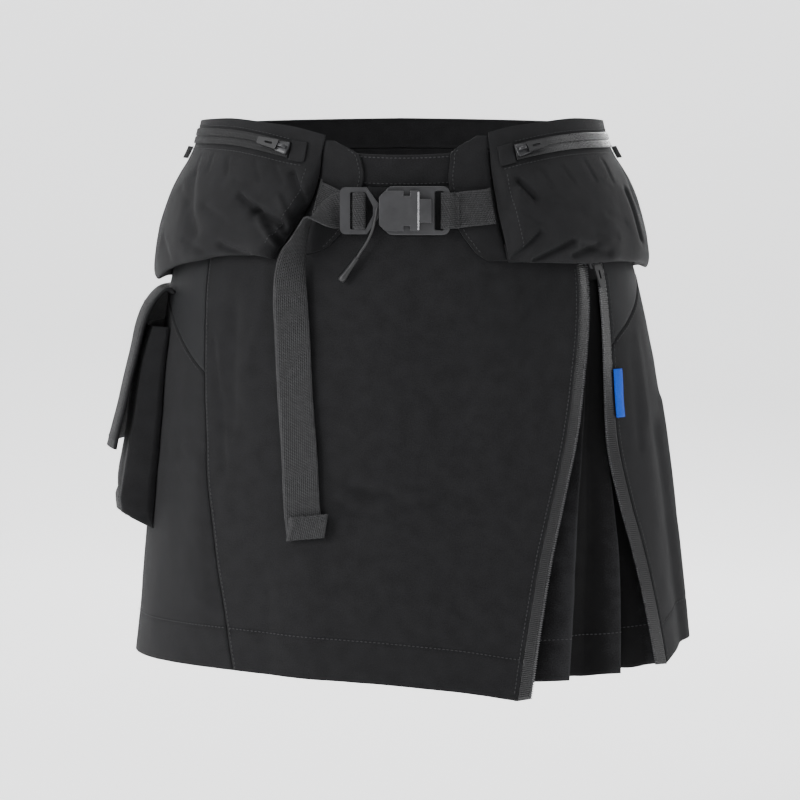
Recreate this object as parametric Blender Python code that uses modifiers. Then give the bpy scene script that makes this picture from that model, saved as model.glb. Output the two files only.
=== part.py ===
"""A pleated a-line skirt with hip bags, a belt, a cargo pocket and a zip slit over a pleated insert.

Metres, +Z up. The origin is the middle of the waist, where the wearer holds the skirt. The front faces -Y,
so the wearer's right is -X. Angles go round the body in degrees: 0 at the front middle, 90 at the wearer's
left side, -90 at the right side and 180 at the back middle. Tables are in millimetres and degrees.
"""

import math

import bmesh
import bpy
import numpy as np
from mathutils import Matrix, Vector

MM = 0.001
SEAM_GAP = 0.4
CLOTH = 1.6
TAPE = 1.0
WEBBING = 1.2
LAID_ON = 0.6
WAISTBAND_WIDTH = 22.5
SLIT_TAPE_WIDTH = 9.0
BAG_REAR_ANGLE = 105.0
ZIP_BAND_HALF = 5.6
ZIP_BAND_ANGLES = (31.5, 84.0)
ZIP_PATCH_HALF = 7.2
ZIP_PATCH_ANGLES = (26.4, 31.0)
BELT_HEIGHT = -58.0
WEBBING_WIDTH = 25.0

# The body that the skirt is cut to: half-widths to the wearer's right and left, depths to the front and back
BODY = {
    "height": (20, 0, -35, -75, -110, -160, -230, -300, -350, -410),
    "right": (142, 144, 149, 159, 168, 175, 182, 188.5, 193, 198.5),
    "left": (142, 144, 149, 160, 171, 182, 194, 202.5, 208, 214),
    "front": (101, 102, 106, 112, 118, 126, 134, 140.5, 144.5, 149),
    "back": (104, 106, 113, 124, 132, 138, 141, 143, 144, 146),
}

# Seams that run down the body: the angle at each height
PRINCESS_SEAM = {
    "height": (0, -60, -111, -137, -175, -214, -249, -277, -305, -332, -360, -390),
    "angle": (-60, -58, -55.8, -54.4, -52.4, -50.4, -48.3, -46.1, -44, -41.6, -39.2, -36.6),
}
SLIT_FRONT_EDGE = {
    "height": (0, -60, -99, -136, -182, -233, -262, -296, -352, -400),
    "angle": (50, 49, 47.5, 44.7, 40.2, 35.1, 32, 28.8, 24.8, 22.1),
}
SLIT_SIDE_EDGE = {
    "height": (0, -60, -100, -137, -184, -231, -270, -294, -340, -390),
    "angle": (59, 58.6, 58.3, 56.3, 53.6, 53.1, 55.7, 58.1, 61.5, 64.8),
}
SLIT_TOP = -90.0
SLIT_FRONT_FOOT = -399.0
SLIT_SIDE_FOOT = -385.5
SIDE_TAPE_TURN = {
    "height": (-90, -190, -235, -275, -330, -390),
    "radians": (0, 0.15, 0.5, 0.75, 0.8, 0.8),
}
BAG_SEAM_RIGHT = {
    "height": (10, -7, -18, -34, -50, -59, -71, -85, -100),
    "angle": (-20.8, -21.4, -22, -22.3, -23.5, -25, -27.2, -30.7, -34),
}
BAG_SEAM_LEFT = {
    "height": (10, -4, -31, -49, -66, -80, -100),
    "angle": (24.1, 24.2, 24.3, 24.6, 25, 25.6, 26.4),
}
WING_EDGE_RIGHT = {
    "height": (-7, -9.3, -14, -18, -26, -34, -48, -60, -70, -78, -86, -91),
    "angle": (-20.6, -19.4, -15.6, -12.6, -10.9, -10.3, -11.4, -13, -14.6, -16.8, -20.5, -27),
}
WING_EDGE_LEFT = {
    "height": (-3, -8, -13, -17, -26, -36, -48, -60, -71, -81, -90, -96),
    "angle": (23.2, 20, 16.2, 13.9, 13, 12.4, 12.8, 13.4, 14.2, 16.4, 19, 22.5),
}

WING_RIGHT_ENDS = (-10.0, -88.5)
WING_LEFT_ENDS = (-6.5, -93.5)

# Edges that run round the body: the height at each angle
WAIST_TOP = {
    "angle": (-180, -150, -90, -70, -50, -30, -13, 0, 13, 30, 50, 70, 90, 150, 180),
    "height": (4, 3, 0, -1, -5, -13, -18.3, -19.5, -18.3, -13, -5, -1, 0, 3, 4),
}
HEM = {
    "angle": (-180, -135, -90, -68, -54, -38, -21, 0, 15, 22.5, 62, 69, 78, 90, 135, 180),
    "height": (-374, -379, -383, -382, -381, -380.7, -382.6, -387, -394, -399, -387, -380, -374.5,
               -372, -372, -374),
}
YOKE_RIGHT_EDGE = {
    "angle": (-95, -90, -80, -73.2, -66.2, -59.6, -51.8, -45),
    "height": (-112, -117, -128, -138, -150, -162, -175, -184),
}
YOKE_LEFT_EDGE = {
    "angle": (50, 55.5, 58.5, 65, 72, 80, 90, 95),
    "height": (-161, -155, -149, -140, -130, -118, -105, -100),
}
BAG_TOP = {
    "angle": (20, 31, 41, 55, 68, 90, 106),
    "height": (-7, -0.4, 2.5, 5.2, 4.6, 2.6, 1.6),
}
BAG_BOTTOM_RIGHT = {
    "angle": (20, 30, 38, 44, 50, 56, 66, 72, 90, 106),
    "height": (-98, -94.5, -91.5, -92, -93.5, -97, -101, -104.5, -114, -112),
}
BAG_BOTTOM_LEFT = {
    "angle": (20, 24, 34, 48, 62, 76, 90, 106),
    "height": (-95, -95, -96.5, -98.5, -98.5, -101, -106, -106),
}
ZIP_LINE_RIGHT = {
    "angle": (28, 31, 40, 50, 60, 74, 90),
    "height": (-18.5, -17.2, -12.8, -9.2, -8, -8, -8.6),
}
ZIP_LINE_LEFT = {
    "angle": (24, 27, 33, 40, 48, 58, 70, 90),
    "height": (-23.5, -21.5, -18, -14.8, -12.4, -11, -11, -11.4),
}

# How far a hip bag stands out at each share of the way down, ending with the tuck under its roll
BAG_PUFF = {
    "down": (0, 0.07, 0.16, 0.25, 0.34, 0.45, 0.57, 0.7, 0.83, 0.93, 0.985, 1.0, 0.965, 0.91, 0.86),
    "out": (2.6, 3.4, 5.0, 8.2, 12.2, 15.4, 17.0, 17.4, 16.4, 14.2, 11.6, 8.6, 5.2, 2.6, 0.8),
}
BAG_ROOT = {"down": (0, 0.16, 0.3, 1), "out": (2.5, 2.5, 0.8, 0.8)}
BAG_EDGE_ROUND = 13.0
BAG_SEAM_TURN = 0.15
BAG_ACROSS = (0, 0.012, 0.035, 0.07, 0.12, 0.18, 0.245, 0.31, 0.375, 0.44, 0.505, 0.57, 0.635, 0.7,
              0.765, 0.83, 0.885, 0.93, 0.965, 0.988, 1)

# Soft troughs (positive depth goes in) and ridges of the cloth, each along a line between two places
FOLD_COLUMNS = ("angle", "height", "end_angle", "end_height", "width", "depth")
BAG_FOLDS = (
    (-43, -51, -29.5, -69, 5.5, 4.5),
    (-36, -64, -31, -84, 4.5, -2.0),
    (-28.5, -35, -25, -52, 5, 2.6),
    (-48, -85, -39, -91, 5, 2.2),
    (-66, -40, -58, -78, 8, 1.8),
    (31, -42, 33, -57, 5, 3.0),
    (27, -92, 34, -76, 5, 2.4),
    (32, -94, 43, -83, 5, 2.6),
    (46, -86, 56, -92, 5, 1.8),
    (74, -52, 76, -84, 8, 2.2),
)
SKIRT_FOLDS = (
    (-9, -253, 7, -262, 9, 1.8),
    (11, -140, 12, -245, 26, 2.4),
    (33, -116, 26, -146, 12, 1.4),
    (-44, -128, -42, -205, 11, 1.5),
    (-52, -240, -48, -330, 16, -1.6),
    (-20, -300, -19, -380, 22, -1.8),
    (74, -220, 77, -372, 12, 3.0),
    (82, -200, 83, -372, 8, -1.8),
    (104, -150, 108, -372, 20, 3.0),
    (133, -160, 137, -372, 22, -3.0),
    (160, -190, 160, -372, 20, 2.6),
    (-172, -210, -170, -374, 22, -3.0),
    (-150, -250, -146, -378, 20, 2.4),
    (-118, -300, -112, -380, 20, -2.6),
)
MM_PER_DEGREE = 2.6
FOLDED_WHEN_PROUD = 10.0

# A panel's grid is found in rounds, from a first guess at this height
MIDDLE_HEIGHT = -150.0
PLACING_ROUNDS = 12

# The pleated insert: where each fold lies between its sewn edges, and how deep it hangs at the hem
PLEAT_TOP = -108.0
PLEAT_HEM = {"share": (0, 0.3, 0.7, 1), "height": (-388.5, -387.5, -387, -385)}
PLEAT_WALL = 1.0
PLEAT_SEWN_DEPTH = 2.6
PLEAT_SEWN_INSET = 0.8
PLEAT_SEWN_SPREAD = 6.0
PLEAT_OPENING_POWER = 0.75
PLEATS = {
    "share": (0, 0.07, 0.135, 0.205, 0.275, 0.285, 0.315, 0.335, 0.46, 0.49, 0.57, 0.65, 0.66,
              0.69, 0.71, 0.80, 0.83, 0.92, 1),
    "depth": (2.6, 13, 17.5, 11.5, 5.6, 5.8, 25, 26, 25, 23, 16, 10.5, 10.7, 27, 28, 26.5, 23,
              15, 2.6),
}
PLEAT_ROWS = 9

# The belt's webbing, seen from above: how far out in front of the origin it runs at each place across
RIGHT_BELT_PATH = {
    "across": (-59.6, -56, -52, -48, -44, -39, -34, -29, -27, -26.1, -26, -26.9, -29.9, -32.9, -33.9,
               -34.2, -36.2, -39.5, -44),
    "front": (104.7, 106.0, 107.2, 108.5, 109.7, 110.8, 111.6, 112.0, 112.7, 114.2, 116.4, 118.1,
              118.4, 118.0, 116.4, 114.4, 113.3, 112.9, 112.4),
}
LEFT_BELT_PATH = {
    "across": (63.4, 59, 54, 48, 42, 37, 32, 29.2, 27.8, 27.4, 27.9, 29.7, 32.7, 34.3, 36.2, 39.7),
    "front": (104.2, 105.8, 107.4, 109.0, 110.3, 110.9, 111.5, 111.6, 112.3, 114.0, 115.8, 116.6,
              116.5, 115.2, 112.9, 111.9),
}
BELT_ROOT_SLANT = {"right": 3.6, "left": -2.2}
BELT_ROOT_RISE = {"right": 9.0, "left": 3.0}
BELT_CLIMB_ROWS = 5
BELT_LEAN = 0.13

# The hanging tail: places of its upper edge and of its lower edge, from the buckle down to the tip
BELT_TAIL = {
    "upper_x": (-46.4, -50.5, -57, -61.3, -64.5, -66.4, -67.6, -67.2, -65.9, -64.3, -61.9, -59.2, -56.9,
                -54.9),
    "upper_z": (-45.5, -48.5, -54, -60.6, -68.2, -78, -88, -104, -120, -145, -192, -226, -266, -284),
    "upper_out": (7.4, 6.8, 6.2, 6.0, 6.0, 6.0, 6.0, 5.5, 4.6, 4.4, 4.2, 4.0, 4.0, 4.0),
    "lower_x": (-46.4, -53, -60.5, -66.4, -71.4, -77, -84, -88.8, -89.9, -89, -86.6, -84.1, -82.1, -80),
    "lower_z": (-70.5, -68, -64, -61.7, -68.4, -77, -86, -102, -119.5, -143.5, -191, -227, -269, -287),
    "lower_out": (7.4, 19, 27.5, 30, 29.5, 28, 24, 17.5, 10.5, 6.6, 4.4, 4.0, 4.0, 4.0),
}
TAIL_ROWS = 24
TAIL_TIP_LENGTH = 17.0
TAIL_TIP_DIRECTION = (-1.6, -0.1, -10.0)
TIP_LIFT = 0.7
TIP_OVERHANG = 0.8

# The buckle, all flat pieces that face the front: the fronts and backs of its layers
BUCKLE_LAYERS = {
    "base": (112.6, 115.4),
    "frame": (114.2, 117.2),
    "plate": (115.7, 120.9),
}
FRAME_LEFT = -43.3
FRAME_HALF_HEIGHT = 16.3
FRAME_CORNER = 4.0
FRAME_WINDOW_LEFT = -36.2
FRAME_WINDOW_HALF = 13.0
FRAME_SHOULDER = -24.6
FRAME_NECK = -16.5
FRAME_NECK_HALF = 5.0
FRAME_RIM = 0.8
FRAME_MOUTH_INSET = 3.7
FRAME_MOUTH_HALF = 3.0
BAR_LEFT = -32.8
BAR_RIGHT = -27.3
PLATE_LEFT = -16.1
PLATE_RIGHT = 11.4
PLATE_HALF_HEIGHT = 14.0
PLATE_CHAMFER = 4.4
NOTCH_LEFT = 1.2
NOTCH_RIGHT = 5.4
NOTCH_DEPTH = 3.6
KNUCKLE_RIGHT = 20.4
KNUCKLE_HALF_HEIGHT = 8.2
BASE_LEFT = -11.8
BASE_RIGHT = 33.2
BASE_HALF_HEIGHT = 17.0
BASE_CORNER = 6.0
BASE_WINDOW = (22.8, 28.9)
BASE_WINDOW_HALF = 13.6
EDGE_BEVEL = 0.45

# The release cord hangs from the frame's neck: places of its middle line
CORD_ROUTE = {
    "across": (-17.4, -18.2, -19.4, -21.3, -23.8, -26.8, -29.3, -31.2),
    "height": (-56.0, -61.0, -66.8, -73.0, -78.5, -83.6, -87.3, -90.6),
    "front": (119.0, 119.4, 119.2, 118.6, 117.9, 117.4, 117.1, 116.9),
}
CORD_RADIUS = 0.95
CORD_END_LENGTH = 20.0
CORD_END_DIRECTION = (-11.4, -0.6, -16.0)
CORD_END_PROFILE = ((1.35, 0), (1.55, 0.6), (1.6, 6), (1.9, 11), (2.45, 15.5), (2.6, 17.5), (2.2, 19.3),
                    (1.2, 20.0))

# The cargo pocket stands out from the right hip, and its flap further still
POCKET_FRONT_ANGLE = -74.5
POCKET_REAR_ANGLE = -124.0
POCKET = {
    "height": (-145, -160, -177, -195, -212, -238, -258, -270, -279, -284.5, -290.5),
    "out": (13, 16, 18, 19.4, 20.5, 22.8, 24.2, 25, 23, 14, 1.3),
}
POCKET_ROOT = 1.3
POCKET_CORNER_SHARE = 0.86
FLAP_OVERHANG = (1.5, 1.2)
FLAP_WALL = 2.4
FLAP = {
    "height": (-119.5, -117, -118.2, -125, -134, -146, -160, -183, -208, -234),
    "out": (0.8, 4.5, 9, 14.5, 18.6, 21.2, 23, 26, 29.8, 34),
}

# The small loop of webbing in the side of each bag
LOOP_ANGLE = 88.0
LOOP_HEIGHT = -21.0
LOOP_HALF_SPAN = 2.6
LOOP_HALF_WIDTH = 4.5
LOOP_ROOT = 0.5
LOOP_REACH = 3.4

# Zip hardware: the angle and height of each slider, and the sizes that all three share
SLIDER_ANGLE = 33.5
SLIT_SLIDER_ANGLE = 53.6
SLIT_SLIDER_HEIGHT = -96.5
SLIDER_SIZE = (11.0, 8.4, 2.6)
SLIT_SLIDER_SIZE = (9.0, 9.5, 2.6)
SLIDER_HINGE_AHEAD = 3.5
TAB_LENGTH = 15.5
TAB_WIDE = 7.4
TAB_NARROW = 5.2
TAB_THICK = 1.4
TAB_BEYOND_AXIS = 0.8
TAB_CORNER = 1.4
TAB_SLOT = ((3.2, 0.9), (3.2, -0.9), (9.5, -0.7), (9.5, 0.7))
SLIDER_LIFT = 0.5
TAB_CLEARANCE = 0.5

# The plain side label: heights of its ends, and its width in degrees
LABEL_TOP = -172.0
LABEL_BOTTOM = -206.0
LABEL_WIDTH = 3.2
LABEL_THICK = 0.9

COLOURS = {
    "cloth": ((0.012, 0.012, 0.014), 0.85, 0.0),
    "smooth_cloth": ((0.014, 0.015, 0.018), 0.6, 0.0),
    "webbing": ((0.035, 0.035, 0.037), 0.7, 0.0),
    "zip_tape": ((0.012, 0.012, 0.013), 0.3, 0.0),
    "hardware": ((0.05, 0.05, 0.053), 0.4, 0.6),
    "rubber": ((0.02, 0.02, 0.021), 0.5, 0.0),
    "label_blue": ((0.01, 0.1, 0.62), 0.6, 0.0),
}


def curve_at(place, places, values):
    """A smooth curve through a table's rows: cubic pieces whose slopes are the rows' mean slopes."""
    places = np.asarray(places, float)
    values = np.asarray(values, float)
    if places[0] > places[-1]:
        places, values = places[::-1], values[::-1]
    slopes = np.gradient(values, places)
    place = np.clip(place, places[0], places[-1])
    row = np.clip(np.searchsorted(places, place) - 1, 0, len(places) - 2)
    step = places[row + 1] - places[row]
    s = (place - places[row]) / step
    start = (2 * s**3 - 3 * s**2 + 1) * values[row] + (s**3 - 2 * s**2 + s) * step * slopes[row]
    end = (3 * s**2 - 2 * s**3) * values[row + 1] + (s**3 - s**2) * step * slopes[row + 1]
    return start + end


def angle_at(table, height):
    return curve_at(height, table["height"], table["angle"])


def height_at(table, angle):
    return curve_at(angle, table["angle"], table["height"])


def fold_depth(folds, angle, height):
    """The cloth's sink, in millimetres, summed over the folds: a soft bell across each fold's line."""
    sink = np.zeros(np.broadcast(angle, height).shape)
    for fold in folds:
        row = dict(zip(FOLD_COLUMNS, fold))
        across = (row["end_angle"] - row["angle"]) * MM_PER_DEGREE
        down = row["end_height"] - row["height"]
        length = math.hypot(across, down)
        from_x = (angle - row["angle"]) * MM_PER_DEGREE
        from_z = height - row["height"]
        along = np.clip((from_x * across + from_z * down) / length**2, 0, 1)
        distance = np.hypot(from_x - along * across, from_z - along * down)
        sink = sink + row["depth"] * np.exp(-((distance / row["width"]) ** 2))
    return sink


def body(angle, height):
    """The folded surface of the skirt in millimetres: half an ellipse each way, less its folds."""
    angle, height = np.broadcast_arrays(np.asarray(angle, float), np.asarray(height, float))
    turn = np.radians(angle)
    level = BODY["height"]
    sizes = {side: curve_at(height, level, BODY[side]) for side in ("right", "left", "front", "back")}
    width = np.where(np.sin(turn) > 0, sizes["left"], sizes["right"])
    depth = np.where(np.cos(turn) > 0, sizes["front"], sizes["back"])
    wrapped = (angle + 180) % 360 - 180
    sink = fold_depth(SKIRT_FOLDS, wrapped, height)
    return np.stack([(width - sink) * np.sin(turn), -(depth - sink) * np.cos(turn), height], -1)


def skin(angle, height, out=0.0):
    """Points of the body moved out along its normal, from the cross product of its two slopes."""
    step = 0.5
    across = body(np.asarray(angle) + step, height) - body(np.asarray(angle) - step, height)
    down = body(angle, np.asarray(height) - step) - body(angle, np.asarray(height) + step)
    normal = np.cross(down, across)
    normal = normal / np.linalg.norm(normal, axis=-1, keepdims=True)
    return body(angle, height) + normal * np.asarray(out, float)[..., None]


def panel_places(left, right, top, bottom, across, down):
    """Angles and heights of a panel's grid between two seams and two edges, each a function."""
    across = np.asarray(across, float)[None, :]
    down = np.asarray(down, float)[:, None]
    angle = left(MIDDLE_HEIGHT) + (right(MIDDLE_HEIGHT) - left(MIDDLE_HEIGHT)) * across + 0 * down
    for _ in range(PLACING_ROUNDS):
        height = top(angle) + (bottom(angle) - top(angle)) * down
        angle = left(height) + (right(height) - left(height)) * across
    return angle, height


def degrees_of(distance, height):
    """The turn, in degrees, that a distance along the front or side of the body takes up at a height."""
    width = curve_at(height, BODY["height"], BODY["left"])
    depth = curve_at(height, BODY["height"], BODY["front"])
    return np.degrees(distance * 2 / (width + depth))


def material(kind):
    found = bpy.data.materials.get(kind)
    if found:
        return found
    colour, roughness, metallic = COLOURS[kind]
    made = bpy.data.materials.new(kind)
    made.use_nodes = True
    shader = made.node_tree.nodes["Principled BSDF"]
    shader.inputs["Base Color"].default_value = (*colour, 1)
    shader.inputs["Roughness"].default_value = roughness
    shader.inputs["Metallic"].default_value = metallic
    made.diffuse_color = (*colour, 1)
    return made


def add_object(name, data, kind, collection):
    thing = bpy.data.objects.new(name, data)
    own = material(kind).copy()
    own.name = name + "_finish"
    data.materials.append(own)
    collection.objects.link(thing)
    return thing


def wall(name, points, thickness, kind, collection, offset=-1.0, even=False):
    """A cloth wall: a grid of points in millimetres, as rows down and columns across, made solid."""
    rows, columns = points.shape[:2]
    index = np.arange(rows * columns).reshape(rows, columns)
    faces = np.stack([index[:-1, :-1], index[1:, :-1], index[1:, 1:], index[:-1, 1:]], -1).reshape(-1, 4)
    mesh = bpy.data.meshes.new(name)
    mesh.from_pydata((points.reshape(-1, 3) * MM).tolist(), [], faces.tolist())
    mesh.validate()
    mesh.shade_smooth()
    thing = add_object(name, mesh, kind, collection)
    solid = thing.modifiers.new("wall", "SOLIDIFY")
    solid.thickness = thickness * MM
    solid.offset = offset
    solid.use_even_offset = even
    return thing


def panel(name, left, right, top, bottom, size, kind, collection, out=0.0, thickness=CLOTH):
    """A sewn panel on the body, half a seam gap inside its four edges."""
    inset = SEAM_GAP / 2
    columns, rows = size
    angle, height = panel_places(
        lambda h: left(h) + degrees_of(inset, h),
        lambda h: right(h) - degrees_of(inset, h),
        lambda a: top(a) - inset,
        lambda a: bottom(a) + inset,
        np.linspace(0, 1, columns),
        np.linspace(0, 1, rows),
    )
    return wall(name, skin(angle, height, out), thickness, kind, collection)


def around(angle):
    """Brings an angle past the back middle into the tables' range."""
    return (np.asarray(angle, float) + 180) % 360 - 180


def waist_bottom(angle):
    return height_at(WAIST_TOP, around(angle)) - WAISTBAND_WIDTH


def make_skirt(parts):
    """The wrap front, the side panels under their yokes, the back and the two waistband lengths."""
    princess = lambda h: angle_at(PRINCESS_SEAM, h)
    front_edge = lambda h: angle_at(SLIT_FRONT_EDGE, h)
    side_edge = lambda h: angle_at(SLIT_SIDE_EDGE, h)
    hem = lambda a: height_at(HEM, around(a))
    right_side = lambda h: -90.0 + 0 * h
    left_side = lambda h: 90.0 + 0 * h
    yoke_right = lambda a: height_at(YOKE_RIGHT_EDGE, a)
    yoke_left = lambda a: height_at(YOKE_LEFT_EDGE, a)
    panel("front_panel", princess, front_edge, waist_bottom, hem, (22, 16), "cloth", parts)
    panel("yoke_right", right_side, princess, waist_bottom, yoke_right, (9, 8), "smooth_cloth", parts)
    panel("side_panel_right", right_side, princess, yoke_right, hem, (11, 12), "cloth", parts)
    panel("yoke_left", side_edge, left_side, waist_bottom, yoke_left, (8, 8), "smooth_cloth", parts)
    panel("side_panel_left", side_edge, left_side, yoke_left, hem, (9, 13), "cloth", parts)
    waist_top = lambda a: height_at(WAIST_TOP, around(a))
    right_side_from_back = lambda h: 270.0 + 0 * h
    panel("back_panel", left_side, right_side_from_back, waist_bottom, hem, (34, 14), "cloth", parts)
    band = (34, 3)
    panel("waistband_back", left_side, right_side_from_back, waist_top, waist_bottom, band, "cloth", parts)
    panel("waistband_front", right_side, left_side, waist_top, waist_bottom, band, "cloth", parts)


def make_pleats(parts):
    """Knife pleats that fan out from the top of the slit and hang behind both its edges."""
    share = np.array(PLEATS["share"])[None, :]
    down = np.linspace(0, 1, PLEAT_ROWS)[:, None]
    hem_height = curve_at(share, PLEAT_HEM["share"], PLEAT_HEM["height"])
    height = PLEAT_TOP + (hem_height - PLEAT_TOP) * down
    behind_side = PLEAT_SEWN_INSET + PLEAT_SEWN_SPREAD * np.sin(np.pi * down)
    sewn_front = angle_at(SLIT_FRONT_EDGE, height) - PLEAT_SEWN_INSET
    sewn_side = angle_at(SLIT_SIDE_EDGE, height) + behind_side
    angle = sewn_front + (sewn_side - sewn_front) * share
    opening = down**PLEAT_OPENING_POWER
    depth = PLEAT_SEWN_DEPTH + (np.array(PLEATS["depth"])[None, :] - PLEAT_SEWN_DEPTH) * opening
    wall("pleated_insert", skin(angle, height, -depth), PLEAT_WALL, "cloth", parts)


def make_wings(parts):
    """The flat leaf of cloth between each hip bag's front seam and the belt."""
    out = LAID_ON + CLOTH
    for name, left_edge, right_edge, (top, bottom) in (
        ("wing_right", BAG_SEAM_RIGHT, WING_EDGE_RIGHT, WING_RIGHT_ENDS),
        ("wing_left", WING_EDGE_LEFT, BAG_SEAM_LEFT, WING_LEFT_ENDS),
    ):
        left = lambda h: angle_at(left_edge, h)
        right = lambda h: angle_at(right_edge, h)
        level_top = lambda a: top + 0 * a
        level_bottom = lambda a: bottom + 0 * a
        panel(name, left, right, level_top, level_bottom, (4, 13), "cloth", parts, out)


def bag_tables(side):
    seam = BAG_SEAM_RIGHT if side < 0 else BAG_SEAM_LEFT
    lowest = BAG_BOTTOM_RIGHT if side < 0 else BAG_BOTTOM_LEFT
    return seam, lowest


def bag_out(side, angle, height):
    """How far a bag's outer face stands off the body at a place above its roll."""
    roll = BAG_PUFF["down"].index(1.0) + 1
    puff = curve_at(share_down(side, angle, height), BAG_PUFF["down"][:roll], BAG_PUFF["out"][:roll])
    return round_off(side, angle, height, puff)


def share_down(side, angle, height):
    """How far down its bag a place is, from 0 at the top edge to 1 at the lowest."""
    top = height_at(BAG_TOP, np.abs(angle))
    return (top - height) / (top - height_at(bag_tables(side)[1], np.abs(angle)))


def round_off(side, angle, height, puff):
    """Brings the puff down in a quarter round to the bag's front seam and to its rear seam, and folds it."""
    seam = bag_tables(side)[0]
    nearest = np.minimum(np.abs(angle - angle_at(seam, height)), np.abs(side * BAG_REAR_ANGLE - angle))
    reach = np.clip(nearest * MM_PER_DEGREE / BAG_EDGE_ROUND, 0, 1)
    rise = np.sqrt(1 - (1 - reach) ** 2)
    root = np.interp(share_down(side, angle, height), BAG_ROOT["down"], BAG_ROOT["out"])
    proud = np.maximum(puff - root, 0) * rise
    folded = np.clip(proud / FOLDED_WHEN_PROUD, 0, 1) * fold_depth(BAG_FOLDS, angle, height)
    return root + proud - folded


def make_bags(parts):
    """Each hip bag is a puffy shell, rolled under at the bottom and sewn to the skirt all round."""
    for name, side in (("hip_bag_right", -1), ("hip_bag_left", 1)):
        seam, lowest = bag_tables(side)
        gap = side * BAG_SEAM_TURN
        front = lambda h: angle_at(seam, h) + gap
        rear = lambda h: side * BAG_REAR_ANGLE + 0 * h
        top = lambda a: height_at(BAG_TOP, np.abs(a))
        bottom = lambda a: height_at(lowest, np.abs(a))
        across = np.array(BAG_ACROSS)
        left, right = (rear, front) if side < 0 else (front, rear)
        if side < 0:
            across = 1 - across[::-1]
        angle, height = panel_places(left, right, top, bottom, across, BAG_PUFF["down"])
        puff = np.array(BAG_PUFF["out"])[:, None] + 0 * angle
        out = round_off(side, angle, height, puff)
        wall(name, skin(angle, height, out), CLOTH, "cloth", parts)


def make_bag_zips(parts):
    """The zip tape round the top of each bag, laid on its wall, with a patch at its front end."""
    for end, side, line in (("right", -1, ZIP_LINE_RIGHT), ("left", 1, ZIP_LINE_LEFT)):
        for name, (first, last), half, columns in (
            ("bag_zip_" + end, ZIP_BAND_ANGLES, ZIP_BAND_HALF, 19),
            ("zip_end_patch_" + end, ZIP_PATCH_ANGLES, ZIP_PATCH_HALF, 4),
        ):
            away = np.linspace(first, last, columns)[None, :] * side
            if side < 0:
                away = away[:, ::-1]
            shift = np.linspace(1, -1, 4)[:, None] * half
            middle = height_at(line, np.abs(away))
            height = middle + shift
            out = bag_out(side, away + 0 * height, height) + LAID_ON + TAPE
            wall(name, skin(away + 0 * height, height, out), TAPE, "zip_tape", parts)
        make_tab_loop("side_tab_" + end, side, parts)


def make_tab_loop(name, side, parts):
    """A small loop of webbing that stands out of the side of a bag, as a bent strip with its width upright."""
    turn = np.linspace(0, math.pi, 7)[:, None]
    width = np.array([-1, 1])[None, :] * LOOP_HALF_WIDTH
    height = LOOP_HEIGHT + width + 0 * turn
    angle = side * LOOP_ANGLE + (LOOP_HALF_SPAN * np.cos(turn) + 0 * width) / MM_PER_DEGREE
    out = bag_out(side, angle, height) + LOOP_ROOT + LOOP_REACH * np.sin(turn)
    wall(name, skin(angle, height, out), TAPE - 0.1, "webbing", parts, offset=0.0)


def ribbon(name, upper, lower, thickness, kind, collection, columns=3):
    """A strip of webbing between its upper and lower edges, each a list of points in millimetres."""
    share = np.linspace(0, 1, columns)[None, :, None]
    points = upper[:, None, :] * (1 - share) + lower[:, None, :] * share
    return wall(name, points, thickness, kind, collection, offset=0.0)


def front_place(across, height, out):
    """The point at a distance out in front of the body's front, straight above a place on it."""
    sizes = {side: curve_at(height, BODY["height"], BODY[side]) for side in ("right", "left")}
    width = np.where(across > 0, sizes["left"], sizes["right"])
    depth = curve_at(height, BODY["height"], BODY["front"])
    return np.stack([across, -depth * np.sqrt(1 - (across / width) ** 2) - out, height], -1)


def smooth_rows(points, count):
    """More rows on a smooth curve through a few, spaced by their share of the whole length."""
    lengths = np.linalg.norm(np.diff(points, axis=0), axis=1)
    places = np.concatenate([[0], np.cumsum(lengths)])
    wanted = np.linspace(0, places[-1], count)
    return np.stack([curve_at(wanted, places, points[:, axis]) for axis in range(3)], -1)


def belt_edges(path, side):
    """The edges of a belt length, which climbs to its root in the bag's seam and leans as the body does."""
    across = np.array(path["across"], float)
    front = np.array(path["front"], float)
    to_root = np.clip(1 - np.arange(len(across)) / BELT_CLIMB_ROWS, 0, 1)
    middle = BELT_HEIGHT + BELT_ROOT_RISE[side] * to_root
    half = WEBBING_WIDTH / 2
    lean = half * BELT_LEAN * to_root
    cut = BELT_ROOT_SLANT[side] * (np.arange(len(across)) == 0)
    upper = np.stack([across + cut, -front + lean, middle + half], -1)
    lower = np.stack([across - cut, -front - lean, middle - half], -1)
    return upper, lower


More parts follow.
